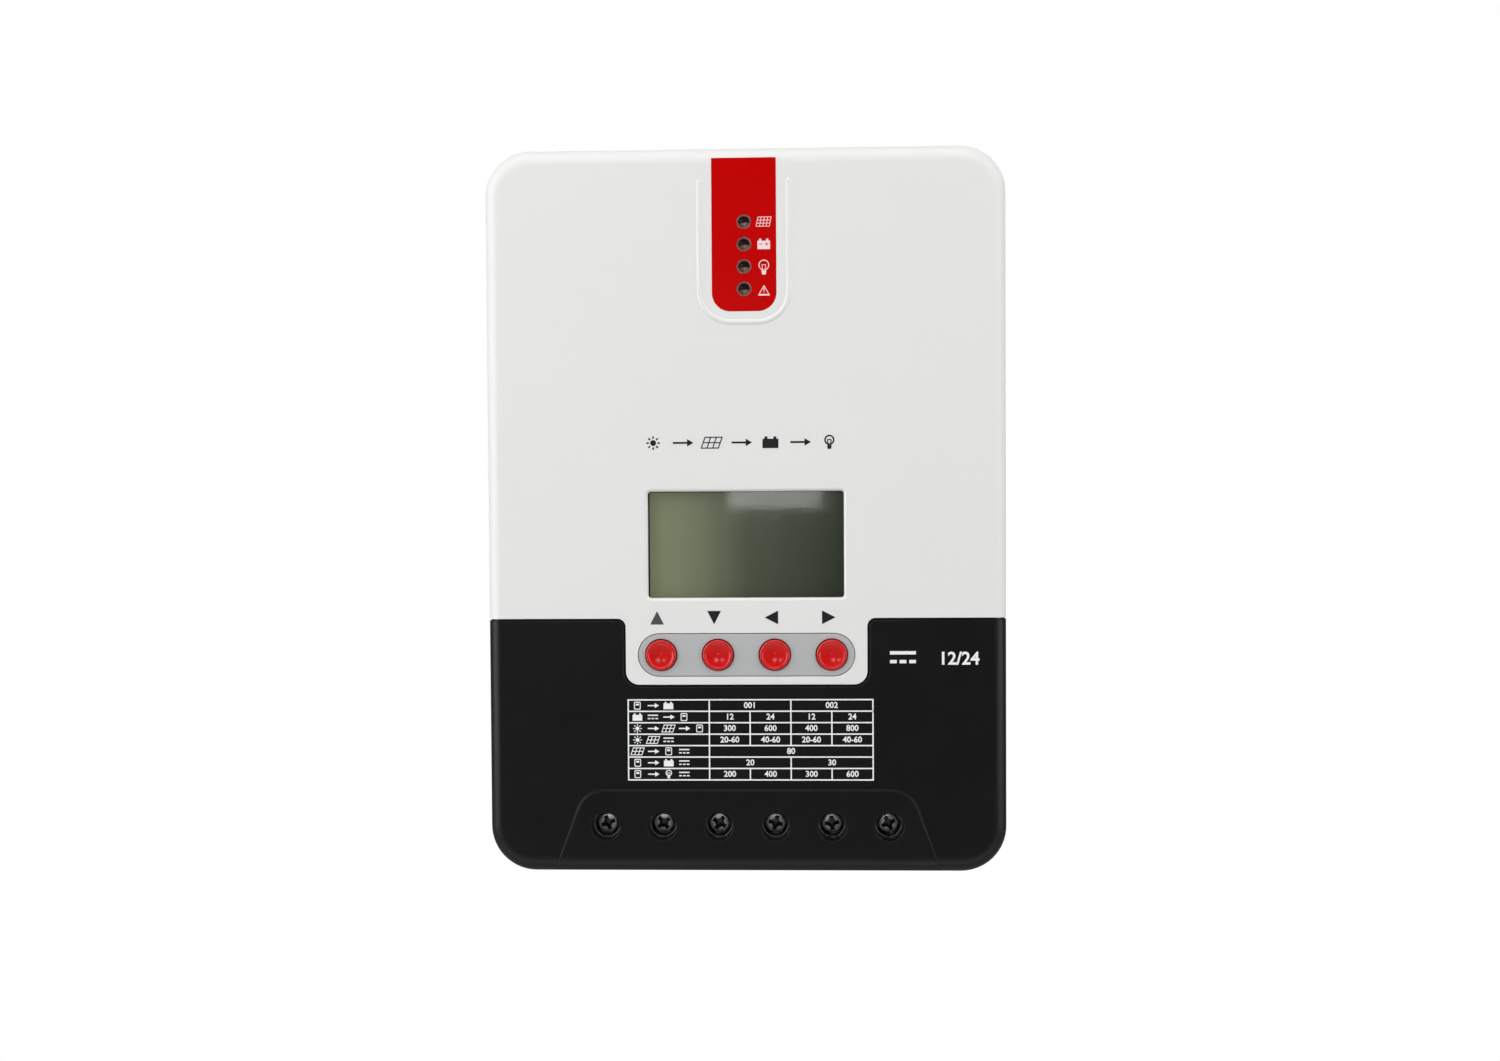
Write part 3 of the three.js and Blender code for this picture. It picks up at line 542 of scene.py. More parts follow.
def keypad_bezel(look):
    plate = flared("grey_bezel", pill, FRONT, bezel_high.y, 0.12, sign=-1, steps=3)
    cut(plate, trim(-45, 120, 90))
    join(plate, prism("flange", pill(BEZEL_FLANGE), PILL.flange_front, bezel_high.y))
    cut(plate, round_holes(buttons, BUTTON.hole, FRONT, bezel_high.y + 1, 0.15, steps=3, sides=64))
    settle(plate, "case", look, ["keypad_bezel"])


def button_profile(low, high):
    """A cap with a rounded rim, a small step inside it, a smooth dish and a central gate mark."""
    outer, top, rear = BUTTON.radius, low.y, high.y
    edge, inner, floor = 0.5, outer - BUTTON.rim, top + BUTTON.step
    dished, rings = inner - 0.1, 14
    rim = [(outer - away, top + depth) for away, depth in reversed(quarter_round(edge, 6))]
    crest = [(inner + 0.22, top), (inner + 0.09, top + 0.04),
             (inner, floor), (dished, floor + 0.04)]
    dish = []
    for i in range(1, rings + 1):
        radius = dished * (1 - i / rings)
        fall = (BUTTON.dish - BUTTON.step) * (1 - (radius / inner) ** 2)
        mark = 0.1 * math.exp(-((radius / 0.42) ** 4))
        dish.append((radius, floor + 0.04 + fall - mark))
    back = [(0, rear), (BUTTON.flange, rear), (BUTTON.flange, rear - 1), (outer, rear - 1)]
    return back + rim + crest + dish


def push_button(name, centre, look):
    low, high = box_mm(f"button_{name}")
    cap = turned(f"key_{name}", button_profile(low, high), centre.x, centre.z, 72)
    settle(cap, f"button_{name}", look, [f"button_{name}"], crease=50)


# ---- terminals

def terminal_housing(look):
    """The block behind the access holes: screw wells in its nose, and a cell for each cage."""
    h, nose_front = HOUSING, housing_low.y
    outline = inset_rect(housing_low, housing_high, 0, 0.6, 3)
    block = prism("housing", outline, h.block_front, housing_high.y)
    nose = rounded_rect(-h.nose_half, h.nose_half, h.nose_low, h.nose_high, 0.8, 3)
    join(block, prism("nose", nose, nose_front, h.nose_rear))
    step = nose_front + h.mouth_depth
    sizes = [(h.mouth_wider, nose_front - 1), (h.mouth_wider, step)]
    sizes += [(inset, step + depth) for inset, depth in quarter_round(h.mouth_lip, 5)]
    sizes += [(0, h.shoulder)]
    wells, cells, bores, slots = [], [], [], []
    for s in screws:
        well = [at_depth(circle(s.x, s.z, TERMINAL.well + wider), y) for wider, y in sizes]
        wells.append(loft("well", well))
        left, right = s.x - h.cell_half, s.x + h.cell_half
        cell = rounded_rect(left, right, housing_low.z - 2, h.cell_top, 0.5, 3)
        cells.append(prism("cell", cell, h.cell_front, h.cell_rear))
        bores.append(prism("bore", circle(s.x, s.z, h.bore), h.shoulder - 0.5, h.cell_front + 0.5))
        slot = rect(s.x, (h.slot_low + h.slot_high) / 2, 2 * h.slot_half, h.slot_high - h.slot_low)
        slots.append(prism("slot", slot, h.slot_front, h.slot_rear))
    cut(block, *(merged("holes", holes) for holes in (wells, cells, bores, slots)))
    settle(block, "case", look, ["terminal_housing"])


def screw_recess(x, z, angle, top):
    """A tapered cross recess with a square centre. Each level is a depth and two half sizes."""
    turn = Matrix.Rotation(angle, 2)
    arm = ((-1, 2.5, 0.74), (0, 2.45, 0.7), (2.2, 1.2, 0.3))
    middle = ((-1, 1.2, 1.2), (0, 1.15, 1.15), (2.3, 0.6, 0.6))
    tapers = []
    for levels in (arm, [(depth, b, a) for depth, a, b in arm], middle):
        rings = []
        for depth, a, b in levels:
            ring = [turn @ Vector(corner) for corner in rect(0, 0, 2 * a, 2 * b)]
            rings.append([(x + p.x, top + depth, z + p.y) for p in ring])
        tapers.append(loft("taper", rings))
    return join(*tapers)


def shade_recess(screw, x, z, top, look):
    """The walls of the recess take a dark steel: painted shade, as little light reaches them."""
    screw.data.materials.append(look)
    for face in screw.data.polygons:
        centre = face.center / MM
        inside = math.hypot(centre.x - x, centre.z - z) < SCREW.recess
        if inside and top + 0.3 < centre.y < SCREW.under + 0.4:
            face.material_index = 1


def terminal_screw(index, look, painted_shade_look):
    """A pan head with a cross recess, over a shank with a plain ringed thread."""
    node = f"terminal_screw_{index + 1}"
    centre, (low, high) = screws[index], box_mm(node)
    head, under, shank = SCREW.head, SCREW.under, SCREW.shank
    profile = [(0, low.y), (1.6, low.y + 0.02), (2.5, low.y + 0.1), (2.95, low.y + 0.28),
               (head - 0.06, low.y + 0.6), (head, low.y + 0.9), (head, under), (shank, under)]
    for i in range(int((high.y - 0.6 - under) / SCREW.pitch)):
        y = under + 0.5 + i * SCREW.pitch
        profile += [(shank, y), (shank - SCREW.thread, y + SCREW.pitch / 2)]
    profile += [(shank, high.y - 0.5), (shank - 0.6, high.y), (0, high.y)]
    screw = turned(f"clamp_screw_{index + 1}", profile, centre.x, centre.z, 56)
    # the recess walls get painted shade in shade_recess below
    cut(screw, screw_recess(centre.x, centre.z, 0.35 + 1.9 * index, low.y))
    settle(screw, node, look, [node])
    shade_recess(screw, centre.x, centre.z, low.y, painted_shade_look)


# ---- printed marks

def bar(x0, z0, x1, z1, width):
    """A straight stroke with square ends."""
    along = Vector((x1 - x0, z1 - z0)).normalized() * width / 2
    across = Vector((-along.y, along.x))
    start, end = Vector((x0, z0)), Vector((x1, z1))
    return [tuple(p) for p in (start - across, end - across, end + across, start + across)]


def rect(x, z, width, height):
    return [(x - width / 2, z - height / 2), (x + width / 2, z - height / 2),
            (x + width / 2, z + height / 2), (x - width / 2, z + height / 2)]


def annulus(x, z, radius, line):
    return circle(x, z, radius, 32), circle(x, z, radius - line, 32)


def frame_of(x, z, width, height, radius, line):
    return tuple(
        rounded_rect(x - width / 2 + inset, x + width / 2 - inset, z - height / 2 + inset,
                     z + height / 2 - inset, max(radius - inset, 0.02), 4)
        for inset in (0, line))


def triangle(x, z, size, turn, radius=0.0):
    """An equal-sided triangle, with optional round corners, that points along an angle."""
    reach = size / math.sqrt(3)
    middle = Vector((x - 0.25 * reach * math.cos(turn), z - 0.25 * reach * math.sin(turn)))
    points = []
    for i in range(3):
        a = turn + i * 4 * QUARTER / 3
        corner = middle + (reach - 2 * radius) * Vector((math.cos(a), math.sin(a)))
        if radius:
            points += arc(corner.x, corner.y, radius, a - 2 * QUARTER / 3, a + 2 * QUARTER / 3, 6)
        else:
            points.append(tuple(corner))
    return points


def sun(x, z, size, line):
    ends = zip(circle(x, z, 0.32 * size, 8), circle(x, z, 0.5 * size, 8))
    return [circle(x, z, 0.22 * size, 24)] + [bar(*near, *far, line) for near, far in ends]


def solar_panel(x, z, width, height, line, lean=0.35, columns=4, rows=3):
    """A leaning grid of cells."""
    shift = lean * height / 2
    lines = []
    for i in range(columns + 1):
        at = x - width / 2 + shift + i * (width - 2 * shift) / columns
        lines.append(bar(at - shift, z - height / 2, at + shift, z + height / 2, line))
    for j in range(rows + 1):
        up = z - height / 2 + j * height / rows
        slide = shift * (2 * j / rows - 1)
        reach = width / 2 - shift + line / 2
        lines.append(bar(x + slide - reach, up, x + slide + reach, up, line))
    return lines


def battery(x, z, width, height):
    """A solid block with two lugs on top."""
    body = 0.8 * height
    lug, off = height - body, 0.28 * width
    lugs = [rect(at, z + height / 2 - lug / 2, 0.18 * width, lug) for at in (x - off, x + off)]
    return [rect(x, z - height / 2 + body / 2, width, body), *lugs]


def battery_signs(x, z, width, line):
    """A minus and a plus."""
    reach, off = 0.13 * width, 0.24 * width
    return [bar(x - off - reach, z, x - off + reach, z, line),
            bar(x + off - reach, z, x + off + reach, z, line),
            bar(x + off, z - reach, x + off, z + reach, line)]


def bulb(x, z, size, line):
    """A ring on a base, with a filament inside."""
    def at(across, up):
        return x + across * size, z + up * size

    base = [at(-0.12, -0.5), at(0.12, -0.5), at(0.17, -0.24), at(-0.17, -0.24)]
    left, right = at(-0.13, 0.16), at(0.13, 0.16)
    filament = ((at(-0.08, -0.24), left), (at(0.08, -0.24), right), (left, right))
    strokes = [bar(*a, *b, 0.7 * line) for a, b in filament]
    return [annulus(*at(0, 0.14), 0.36 * size, line), base, *strokes]


def arrow(x, z, length, line):
    head = 2.6 * line
    return [bar(x - length / 2, z, x + length / 2 - head / 2, z, line),
            triangle(x + length / 2 - head / 3, z, 1.5 * head, RIGHT)]


def type_into(bm, text, x, z, height, front):
    """Sets a line of bold digits, centred on a place."""
    font = bpy.data.curves.new("type", "FONT")
    font.body, font.size, font.extrude, font.resolution_u = text, height / 0.74, INK / 2, 3
    font.offset = 0.03 * height
    font.align_x = font.align_y = "CENTER"
    obj = new_object("type", font)
    shape = obj.evaluated_get(bpy.context.evaluated_depsgraph_get())
    mesh = bpy.data.meshes.new_from_object(shape)
    mesh.transform(Matrix(((1, 0, 0, x), (0, 0, -1, front + INK / 2), (0, 1, 0, z), (0, 0, 0, 1))))
    bm.from_mesh(mesh)
    bpy.data.objects.remove(obj)


def marks(name, shapes, y, look, texts=()):
    """Printed marks on a face towards the front. A shape is an outline, or a pair for a ring.

    The heights differ slightly, so that crossing strokes seldom share a plane."""
    bm = bmesh.new()
    for i, shape in enumerate(shapes):
        loops = shape if isinstance(shape, tuple) else (shape,)
        front = y - INK * (1 + 0.08 * (i % 9))
        rows = [[[bm.verts.new((px, depth, pz)) for px, pz in loop] for depth in (front, y + INK)]
                for loop in loops]
        for near, far in rows:
            band(bm, near, far)
        for depth in (0, 1):
            if len(loops) == 1:
                bm.faces.new(rows[0][depth])
            else:
                band(bm, rows[0][depth], rows[1][depth])
    for text, x, z, height in texts:
        type_into(bm, text, x, z, height, y - INK)
    bmesh.ops.recalc_face_normals(bm, faces=bm.faces)
    settle(from_bmesh(name, bm), "case", look)


def strip_icons(look, shade_look):
    """Solar input, battery, load and fault, each beside its lamp."""
    x, line, width = 6.45, 0.3, 4.1
    top, second, third, last = (led.z for led in leds)
    icons = solar_panel(x, top - 0.1, 4.9, 3.0, 0.2, lean=0.2)
    icons += battery(x, second - 0.05, width, 3.4)
    icons += bulb(x, third - 0.3, 4.8, 0.28)
    icons += [(triangle(x, last - 0.5, 4.0, UP, 0.2), triangle(x, last - 0.5, 2.85, UP, 0.05))]
    icons += [bar(x, last - 0.7, x, last + 0.35, line), circle(x, last - 1.05, 0.18, 12)]
    marks("strip_icons", icons, FRONT, look)
    marks("battery_signs", battery_signs(x, second - 0.1, width, 0.22), FRONT - INK, shade_look)


def title_line(look):
    """A row of small signs over the display: sun, panel, battery and lamp, joined by arrows."""
    z, line, left, length = 22.5, 0.5, -30.0, 57.4
    places = [left + i * length / 6 for i in range(7)]
    shapes = sun(places[0], z, 4.4, line)
    shapes += solar_panel(places[2], z, 6.8, 3.5, 0.36, columns=3, rows=2)
    shapes += battery(places[4], z, 5.2, 3.8)
    shapes += bulb(places[6], z, 4.6, line)
    for place in places[1::2]:
        shapes += arrow(place, z, 6.2, 0.62)
    marks("title_signs", shapes, FRONT, look)


def pointer(x, z, across, along, name):
    """A solid arrowhead, centred on a place."""
    turns = {"up": (0, 1), "down": (0, -1), "left": (-1, 0), "right": (1, 0)}
    tip = Vector(turns[name]) * along / 2
    side = Vector((-tip.y, tip.x)).normalized() * across / 2
    place = Vector((x, z))
    return [tuple(place + tip), tuple(place - tip + side), tuple(place - tip - side)]


def key_arrows(dark, grey):
    """An arrow over each button. Their pitch is a little wider than the buttons'."""
    z, across, along, pitch_scale, shift = -34.6, 4.5, 4.4, 1.006, -1.1
    heads = [pointer(pitch_scale * centre.x + shift, z, across, along, name)
             for name, centre in zip(BUTTON_NAMES, buttons)]
    marks("key_arrow_1", heads[:1], FRONT, grey)
    marks("key_arrows", heads[1:], FRONT, dark)


TABLE = Sizes(left=-38.85, right=41.19, top=-61.51, row=3.76, label=26.6, cell=13.35, line=0.44)


def ratings_table(look):
    """A ruled table of plain figures, with small signs for row labels."""
    t = TABLE
    rows = [(2, "001 002"), (1, "12 24 12 24"), (1, "300 600 400 800"),
            (1, "20-60 40-60 20-60 40-60"), (4, "80"), (2, "20 30"), (1, "200 400 300 600")]
    bottom = t.top - len(rows) * t.row
    shapes = []
    for i in range(len(rows) + 1):
        z = t.top - i * t.row
        shapes.append(bar(t.left - t.line / 2, z, t.right + t.line / 2, z, t.line))
    shapes += [bar(x, t.top, x, bottom, t.line) for x in (t.left, t.left + t.label, t.right)]
    texts = []
    for i, (span, cells) in enumerate(rows):
        high, low = t.top - i * t.row, t.top - (i + 1) * t.row
        x = t.left + t.label
        for text in cells.split():
            texts.append((text, x + span * t.cell / 2, (high + low) / 2, 2.0))
            x += span * t.cell
            if x < t.right - 1:
                shapes.append(bar(x, high, x, low, t.line))
    shapes += label_signs([(t.left + 3.0, t.top - (i + 0.5) * t.row) for i in range(len(rows))])
    marks("ratings_table", shapes, FRONT, look, texts)


def direct_current(x, z, width, line):
    dash = 0.26 * width
    return ([rect(x, z + 1.4 * line, width, line)]
            + [rect(x + i * 0.37 * width, z - 1.2 * line, dash, line) for i in (-1, 0, 1)])


def label_signs(labels):
    """A few small signs at the start of each row of the table."""
    line, pitch = 0.3, 5.1
    signs = {
        "case": lambda x, z: [frame_of(x, z, 2.2, 2.6, 0.4, line), rect(x, z + 0.35, 1.0, 0.6)],
        "battery": lambda x, z: battery(x, z, 3.2, 2.4),
        "panel": lambda x, z: solar_panel(x, z, 4.4, 2.3, 0.26, columns=3, rows=2),
        "arrow": lambda x, z: arrow(x, z, 3.4, 0.42),
        "sun": lambda x, z: sun(x, z, 2.9, line),
        "bulb": lambda x, z: bulb(x, z, 2.9, line),
        "current": lambda x, z: direct_current(x, z, 3.4, 0.42),
    }
    wanted = ("case arrow battery", "battery current arrow case", "sun arrow panel arrow case",
              "sun panel current", "panel arrow case current", "case arrow battery current",
              "case arrow bulb current")
    shapes = []
    for (x, z), names in zip(labels, wanted):
        for i, name in enumerate(names.split()):
            shapes += signs[name](x + pitch * i, z)
    return shapes


def cover_marks(look):
    """A direct-current sign and the pair of system voltages beside the keypad."""
    sign = direct_current(51.0, -47.8, 8.4, 1.1)
    marks("direct_current_sign", sign, FRONT, look, [("12/24", 69.2, -48.3, 4.3)])


# ---- CAD pieces that keep their shape

def dress(node, look, bevel=0.0):
    """Gives a CAD node its material and, by modifiers only, soft edges."""
    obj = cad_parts[node]
    obj.data.materials.clear()
    obj.data.materials.append(look)
    if bevel:
        modify(obj, "weld", "WELD", merge_threshold=1e-6)
        modify(obj, "flat", "DECIMATE", decimate_type="DISSOLVE", angle_limit=math.radians(0.5))
        modify(obj, "soft_edges", "BEVEL", width=bevel * MM, segments=2,
               limit_method="ANGLE", angle_limit=math.radians(40))
        modify(obj, "weighted_normals", "WEIGHTED_NORMAL", weight=90)
        obj.data.shade_smooth()


# ---- materials

def add(tree, kind, inputs=None, **settings):
    """A new node, with its settings made before its inputs are filled in."""
    node = configured(tree.nodes.new("ShaderNode" + kind), settings)
    for key, value in (inputs or {}).items():
        node.inputs[key].default_value = value
    return node


def wire(tree, *links):
    """Each link is a node, its output, another node and its input."""
    for source, output, target, socket in links:
        tree.links.new(source.outputs[output], target.inputs[socket])


def noise(tree, scale, detail):
    return add(tree, "TexNoise", {"Scale": scale, "Detail": detail})


def mixed_colour(tree, first, second, **settings):
    """A node that mixes two colours. A colour that a link gives is None."""
    colours = {key: (*colour, 1) for key, colour in (("A", first), ("B", second)) if colour}
    return add(tree, "Mix", colours, data_type="RGBA", **settings)


def multiplied(tree, first=None):
    mix = mixed_colour(tree, first, None, blend_type="MULTIPLY")
    mix.inputs["Factor"].default_value = 1
    return mix


def mapped(tree, low, high, start=0.0, end=1.0):
    """A node that maps start to low and end to high."""
    limits = {"From Min": start, "From Max": end, "To Min": low, "To Max": high}
    return add(tree, "MapRange", limits)


def material(name, base, roughness, **extra):
    """A principled material, with its node tree and shader for the caller to go on with."""
    look = bpy.data.materials.new(name)
    look.use_nodes = True
    shader = look.node_tree.nodes["Principled BSDF"]
    for key, value in {"Base Color": (*base, 1), "Roughness": roughness, **extra}.items():
        shader.inputs[key].default_value = value
    return look, look.node_tree, shader


def patterned(name, base, roughness, grain=0.02, variation=0.03, scale=2200, spread=0.06, **extra):
    """Fine grain, a slow drift of colour and a patchy sheen over a principled material."""
    look, tree, shader = material(name, base, roughness, **extra)
    place = add(tree, "TexCoord")
    fine, drift, smear = noise(tree, scale, 3), noise(tree, 14, 4), noise(tree, 55, 5)
    bump = add(tree, "Bump", {"Strength": 0.35, "Distance": grain * MM})
    tone = mapped(tree, 1 - variation, 1 + variation)
    rough = mapped(tree, roughness - spread, roughness + spread)
    colour = multiplied(tree, base)
    wire(tree, (place, "Object", fine, "Vector"), (place, "Object", drift, "Vector"),
         (place, "Object", smear, "Vector"), (fine, "Fac", bump, "Height"),
         (bump, "Normal", shader, "Normal"), (drift, "Fac", tone, "Value"),
         (tone, "Result", colour, "B"), (colour, "Result", shader, "Base Color"),
         (smear, "Fac", rough, "Value"), (rough, "Result", shader, "Roughness"))
    return look, tree, shader


def lcd_look():
    """An unlit display with soft upright bands, under a painted reflection: olive on the left,
    nearly black on the right. A faint painted glow in the same colours lightens it.
    """
    look, tree, shader = patterned("lcd_painted_reflection", (0.1, 0.11, 0.08), 0.3, 0.001, 0.05)
    place, split, ramp = (add(tree, kind) for kind in ("TexCoord", "SeparateXYZ", "ValToRGB"))
    across = mapped(tree, 0, 1, -OPENING.half * MM, OPENING.half * MM)
    # painted reflection: the colours fall from light on the left to dark on the right
    painted_reflection_stops = [(0.0, (0.24, 0.26, 0.16)), (0.2, (0.19, 0.205, 0.135)), (0.5, (0.07, 0.077, 0.055)),
             (0.8, (0.042, 0.049, 0.034)), (1.0, (0.027, 0.033, 0.023))]
    while len(ramp.color_ramp.elements) < len(painted_reflection_stops):
        ramp.color_ramp.elements.new(0.5)
    for element, (at, colour) in zip(ramp.color_ramp.elements, painted_reflection_stops):
        element.position, element.color = at, (*colour, 1)
    stretch = add(tree, "Mapping", {"Scale": (170, 1, 9)})
    bands = noise(tree, 1.0, 2)
    depth = mapped(tree, 0.85, 1.13)
    mixed = multiplied(tree)
    wire(tree, (place, "Object", split, "Vector"), (split, "X", across, "Value"),
         (across, "Result", ramp, "Fac"), (place, "Object", stretch, "Vector"),
         (stretch, "Vector", bands, "Vector"), (bands, "Fac", depth, "Value"),
         (ramp, "Color", mixed, "A"), (depth, "Result", mixed, "B"),
         (mixed, "Result", shader, "Base Color"), (mixed, "Result", shader, "Emission Color"))
    # painted glow: the display is off, yet it gives out a little light
    shader.inputs["Emission Strength"].default_value = 0.25
    return look


def led_look():
    """A tinted lens with painted light and shade: dark above, as in shade, brown below, where light
    falls in, and palest at the lower right, a painted highlight.
    """
    look, tree, shader = patterned("led_tinted_painted_light", (0.05, 0.03, 0.025), 0.12, 0.001, 0.1)
    place, split = add(tree, "TexCoord"), add(tree, "SeparateXYZ")
    below, beside = mapped(tree, 0, 1, 0.5, 0.4), mapped(tree, 0, 1, 0.46, 0.56)
    both = add(tree, "Math", operation="MULTIPLY")
    # painted shade above, painted light below
    brown = mixed_colour(tree, (0.02, 0.012, 0.01), (0.17, 0.1, 0.08))
    # painted highlight at the lower right
    painted_lit_corner = mixed_colour(tree, None, (0.27, 0.18, 0.16))
    wire(tree, (place, "Generated", split, "Vector"), (split, "Z", below, "Value"),
         (split, "X", beside, "Value"), (below, "Result", both, 0), (beside, "Result", both, 1),
         (below, "Result", brown, "Factor"), (both, "Value", painted_lit_corner, "Factor"),
         (brown, "Result", painted_lit_corner, "A"), (painted_lit_corner, "Result", shader, "Base Color"))
    return look


def clear_look():
    """A thin clear pane: see-through, with a faint reflection and a little haze."""
    look = bpy.data.materials.new("clear_pane")
    look.use_nodes = True
    tree = look.node_tree
    tree.nodes.clear()
    out, place, mix = (add(tree, kind) for kind in ("OutputMaterial", "TexCoord", "MixShader"))
    through = add(tree, "BsdfTransparent", {"Color": (0.95, 0.96, 0.94, 1)})
    shine = add(tree, "BsdfGlossy")
    haze = noise(tree, 90, 4)
    rough, edge = mapped(tree, 0.02, 0.09), mapped(tree, 0.02, 0.7)
    facing = add(tree, "LayerWeight", {"Blend": 0.5})
    steep = add(tree, "Math", {1: 4}, operation="POWER")
    wire(tree, (place, "Object", haze, "Vector"), (haze, "Fac", rough, "Value"),
         (rough, "Result", shine, "Roughness"), (facing, "Facing", steep, 0),
         (steep, "Value", edge, "Value"), (edge, "Result", mix, "Fac"), (through, "BSDF", mix, 1),
         (shine, "BSDF", mix, 2), (mix, "Shader", out, "Surface"))
    return look


def make_looks():
    """Every look by its name. A row has a colour, a roughness, the height of the grain in mm, the
    tone's drift and, if need be, the grain's scale and the spread of the roughness."""
    metals = ("nickel_steel", "recess_painted_shade_steel", "contact_alloy", "cast_aluminium", "winding")
    shine = {"black_moulded": 0.26, "black_gloss": 0.9, "red_film": 0.12, "dark_ink": 0.3}
    rows = {
        "white_moulded": ((0.77, 0.77, 0.757), 0.45, 0.012, 0.01),
        "black_moulded": ((0.0024, 0.0028, 0.0028), 0.4, 0.012, 0.12),
        "black_gloss": ((0.006, 0.0063, 0.0063), 0.22, 0.008, 0.12),
        "grey_moulded": ((0.45, 0.462, 0.465), 0.45, 0.01, 0.02),
        "red_film": ((0.505, 0.0012, 0.0012), 0.28, 0.004, 0.04),
        "red_rubber": ((0.58, 0.0085, 0.0085), 0.17, 0.006, 0.03),
        "led_collar": ((0.36, 0.17, 0.15), 0.1, 0.002, 0.1),
        "nickel_steel": ((0.78, 0.78, 0.76), 0.36, 0.04, 0.08, 900, 0.12),
        # painted shade: a dark steel for the walls of the screws' cross recesses
        "recess_painted_shade_steel": ((0.18, 0.18, 0.18), 0.5, 0.04, 0.1, 900, 0.12),
        "contact_alloy": ((0.72, 0.5, 0.2), 0.35, 0.01, 0.06, 900),
        "cast_aluminium": ((0.5, 0.51, 0.52), 0.45, 0.12, 0.14, 900, 0.12),
        "circuit_board": ((0.01, 0.09, 0.03), 0.35, 0.02, 0.15),
        "component_black": ((0.02, 0.02, 0.022), 0.5, 0.02, 0.1),
        "light_guide": ((0.7, 0.7, 0.64), 0.5, 0.01, 0.03),
        "flat_cable": ((0.27, 0.3, 0.32), 0.5, 0.01, 0.05),
        "winding": ((0.5, 0.2, 0.08), 0.35, 0.2, 0.15, 420),
        "capacitor_sleeve": ((0.02, 0.02, 0.03), 0.4, 0.01, 0.08),
        "pale_ink": ((0.92, 0.68, 0.71), 0.5, 0.004, 0.04),
        "red_ink": ((0.4, 0.004, 0.004), 0.4, 0.004, 0.04),
        "dark_ink": ((0.006, 0.006, 0.007), 0.55, 0.004, 0.08),
        "grey_ink": ((0.065, 0.058, 0.065), 0.5, 0.004, 0.08),
        "white_ink": ((0.85, 0.86, 0.86), 0.5, 0.004, 0.04),
    }
    looks = {"clear_pane": clear_look(), "lcd_painted_reflection": lcd_look(), "led_tinted_painted_light": led_look()}
    for name, row in rows.items():
        extra = {"Metallic": 1.0} if name in metals else {}
        if name in shine:
            extra["Specular IOR Level"] = shine[name]
        looks[name] = patterned(name, *row, **extra)[0]
    return looks


# ---- stage, light and camera

def backdrop():
    """A plain white sweep: floor, bend and wall, well clear of the part."""
    floor, wall, bend, half = -0.6, 1.6, 0.5, 4.0
    profile = [(-4.0, floor)]
    profile += [(wall - bend + bend * math.sin(a), floor + bend - bend * math.cos(a))
                for a in [QUARTER * i / 12 for i in range(13)]]
    profile += [(wall, 3.5)]
    bm = bmesh.new()
    rows = [[bm.verts.new((side * half, y, z)) for side in (-1, 1)] for y, z in profile]
    for a, b in zip(rows, rows[1:]):
        bm.faces.new((a[0], a[1], b[1], b[0])).smooth = True
    obj = from_bmesh("backdrop", bm)
    obj.data.materials.append(backdrop_look())


def backdrop_look():
    """White paper that the camera sees evenly lit, and that shows only faintly in reflections."""
    look, tree, shader = material("backdrop_paper", (0.45, 0.45, 0.45), 0.9)
    glow = add(tree, "Emission", {"Strength": 1.0})
    path, mix = add(tree, "LightPath"), add(tree, "MixShader")
    reflected = add(tree, "Math", {1: 0.1}, operation="MULTIPLY_ADD")
    wire(tree, (path, "Is Glossy Ray", reflected, 0), (path, "Is Camera Ray", reflected, 2),
         (reflected, "Value", mix, "Fac"), (shader, "BSDF", mix, 1), (glow, "Emission", mix, 2),
         (mix, "Shader", tree.nodes["Material Output"], "Surface"))
    return look


def soft_box(name, place, size, power, aim=(0, -0.05, 0)):
    """A rectangular lamp turned towards a point, which the camera doesn't see."""
    lamp = bpy.data.lights.new(name, "AREA")
    lamp.shape = "RECTANGLE"
    lamp.size, lamp.size_y = size
    lamp.energy = power
    obj = new_object(name, lamp)
    obj.location = place
    obj.rotation_euler = (Vector(aim) - Vector(place)).to_track_quat("-Z", "Y").to_euler()
    obj.visible_camera = False


def lighting():
    """Soft boxes on four sides, a strip for the bottom edge and small lamps for highlights."""
    small, low_edge, keypad = (0.08, 0.08), (0, -0.07, -0.11), (0, -0.07, -0.05)
    soft_box("soft_left", (-0.95, -0.5, 0.2), (0.9, 1.2), 11.1)
    soft_box("soft_right", (0.95, -0.5, 0.2), (0.9, 1.2), 8.2)
    soft_box("soft_top", (0, -0.45, 1.0), (1.2, 0.7), 6.2)
    soft_box("soft_rear", (0.2, 1.0, 0.7), (1.2, 0.8), 5.0)
    soft_box("strip_low", (0, -0.45, -0.545), (1.2, 0.12), 0.8, aim=low_edge)
    soft_box("lamp_left", (-0.45, -0.7, 0.5), small, 0.4)
    soft_box("lamp_right", (0.5, -0.7, 0.55), small, 0.5)
    soft_box("spark_middle", (0.005, -0.7, 0.04), small, 0.12, aim=keypad)
    soft_box("spark_left", (-0.19, -0.7, 0.04), small, 0.08, aim=keypad)


def surroundings():
    """White to the camera. As a light it is brighter behind, so that the part's sides are lit."""
    world = bpy.data.worlds.new("studio")
    bpy.context.scene.world = world
    world.use_nodes = True
    tree = world.node_tree
    fill = tree.nodes["Background"]
    kinds = ("TexCoord", "SeparateXYZ", "LightPath", "MixShader")
    place, split, path, mix = (add(tree, kind) for kind in kinds)
    round_the_sides = mapped(tree, 0.03, 2.3, -0.92, 0.2)
    seen = add(tree, "Background", {"Color": (1, 1, 1, 1), "Strength": 1.0})
    wire(tree, (place, "Generated", split, "Vector"), (split, "Y", round_the_sides, "Value"),
         (round_the_sides, "Result", fill, "Strength"), (path, "Is Camera Ray", mix, "Fac"),
         (fill, "Background", mix, 1), (seen, "Background", mix, 2),
         (mix, "Shader", tree.nodes["World Output"], "Surface"))


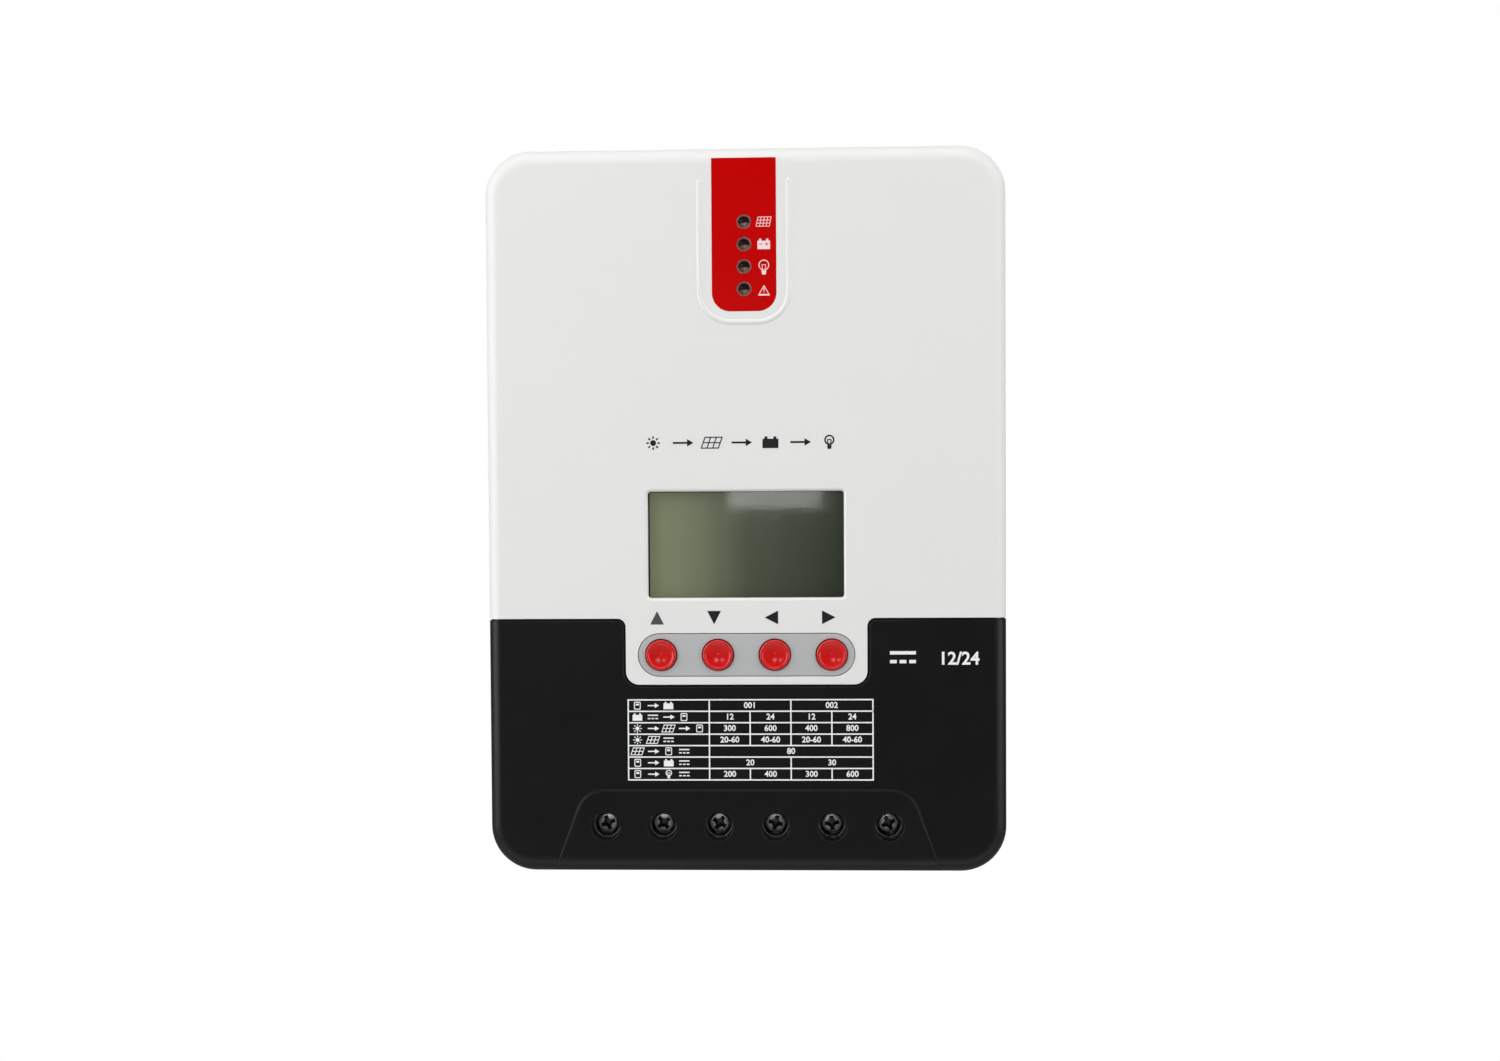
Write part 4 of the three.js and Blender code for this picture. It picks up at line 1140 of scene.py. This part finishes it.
def camera():
    """A near, wide view from just right of the middle, as a hand-held product shot."""
    lens = bpy.data.cameras.new("camera")
    lens.sensor_width, lens.lens = 36, 28.8
    lens.clip_start, lens.clip_end = 0.01, 20
    obj = new_object("camera", lens)
    yaw, pitch, roll = (math.radians(a) for a in (1.62, -1.14, 0.34))
    turn = Matrix.Identity(3)
    for angle, axis in ((yaw, "Z"), (pitch, "X"), (roll, "Y"), (QUARTER, "X")):
        turn = turn @ Matrix.Rotation(angle, 3, axis)
    obj.matrix_world = Matrix.Translation((0.0125, -0.4624, 0.0016)) @ turn.to_4x4()
    bpy.context.scene.camera = obj


# ---- assembly

looks = make_looks()
upper_cover(looks["white_moulded"])
lower_cover(looks["black_moulded"])
overlay(looks["red_film"])
for i in range(len(leds)):
    led_lens(i, looks)
display_glass(looks)
keypad_bezel(looks["grey_moulded"])
for name, centre in zip(BUTTON_NAMES, buttons):
    push_button(name, centre, looks["red_rubber"])
terminal_housing(looks["black_gloss"])
for i in range(len(screws)):
    terminal_screw(i, looks["nickel_steel"], looks["recess_painted_shade_steel"])

strip_icons(looks["pale_ink"], looks["red_ink"])
title_line(looks["dark_ink"])
key_arrows(looks["dark_ink"], looks["grey_ink"])
ratings_table(looks["white_ink"])
display_border_and_painted_shade(looks["dark_ink"])
cover_marks(looks["white_ink"])

dress("heat_sink", looks["cast_aluminium"], 0.3)
for i in range(1, 7):
    dress(f"cover_screw_{i}", looks["nickel_steel"], 0.1)
    dress(f"terminal_cage_{i}", looks["nickel_steel"], 0.15)
    dress(f"terminal_contact_{i}", looks["contact_alloy"], 0.15)
switches = [f"{kind}_{name}" for kind in ("switch", "plunger") for name in BUTTON_NAMES]
for node in ("data_port", "sensor_port", "power_transistor_1", "power_transistor_2", *switches):
    dress(node, looks["component_black"], 0.1)
for node in ("led_board", "display_board", "main_board"):
    dress(node, looks["circuit_board"])
for i in (1, 2):
    dress(f"bulk_capacitor_{i}", looks["capacitor_sleeve"], 0.2)
dress("lcd_frame", looks["light_guide"], 0.1)
dress("display_cable", looks["flat_cable"])
dress("power_inductor", looks["winding"])

backdrop()
lighting()
surroundings()
camera()
bpy.context.scene.view_settings.view_transform = "Standard"
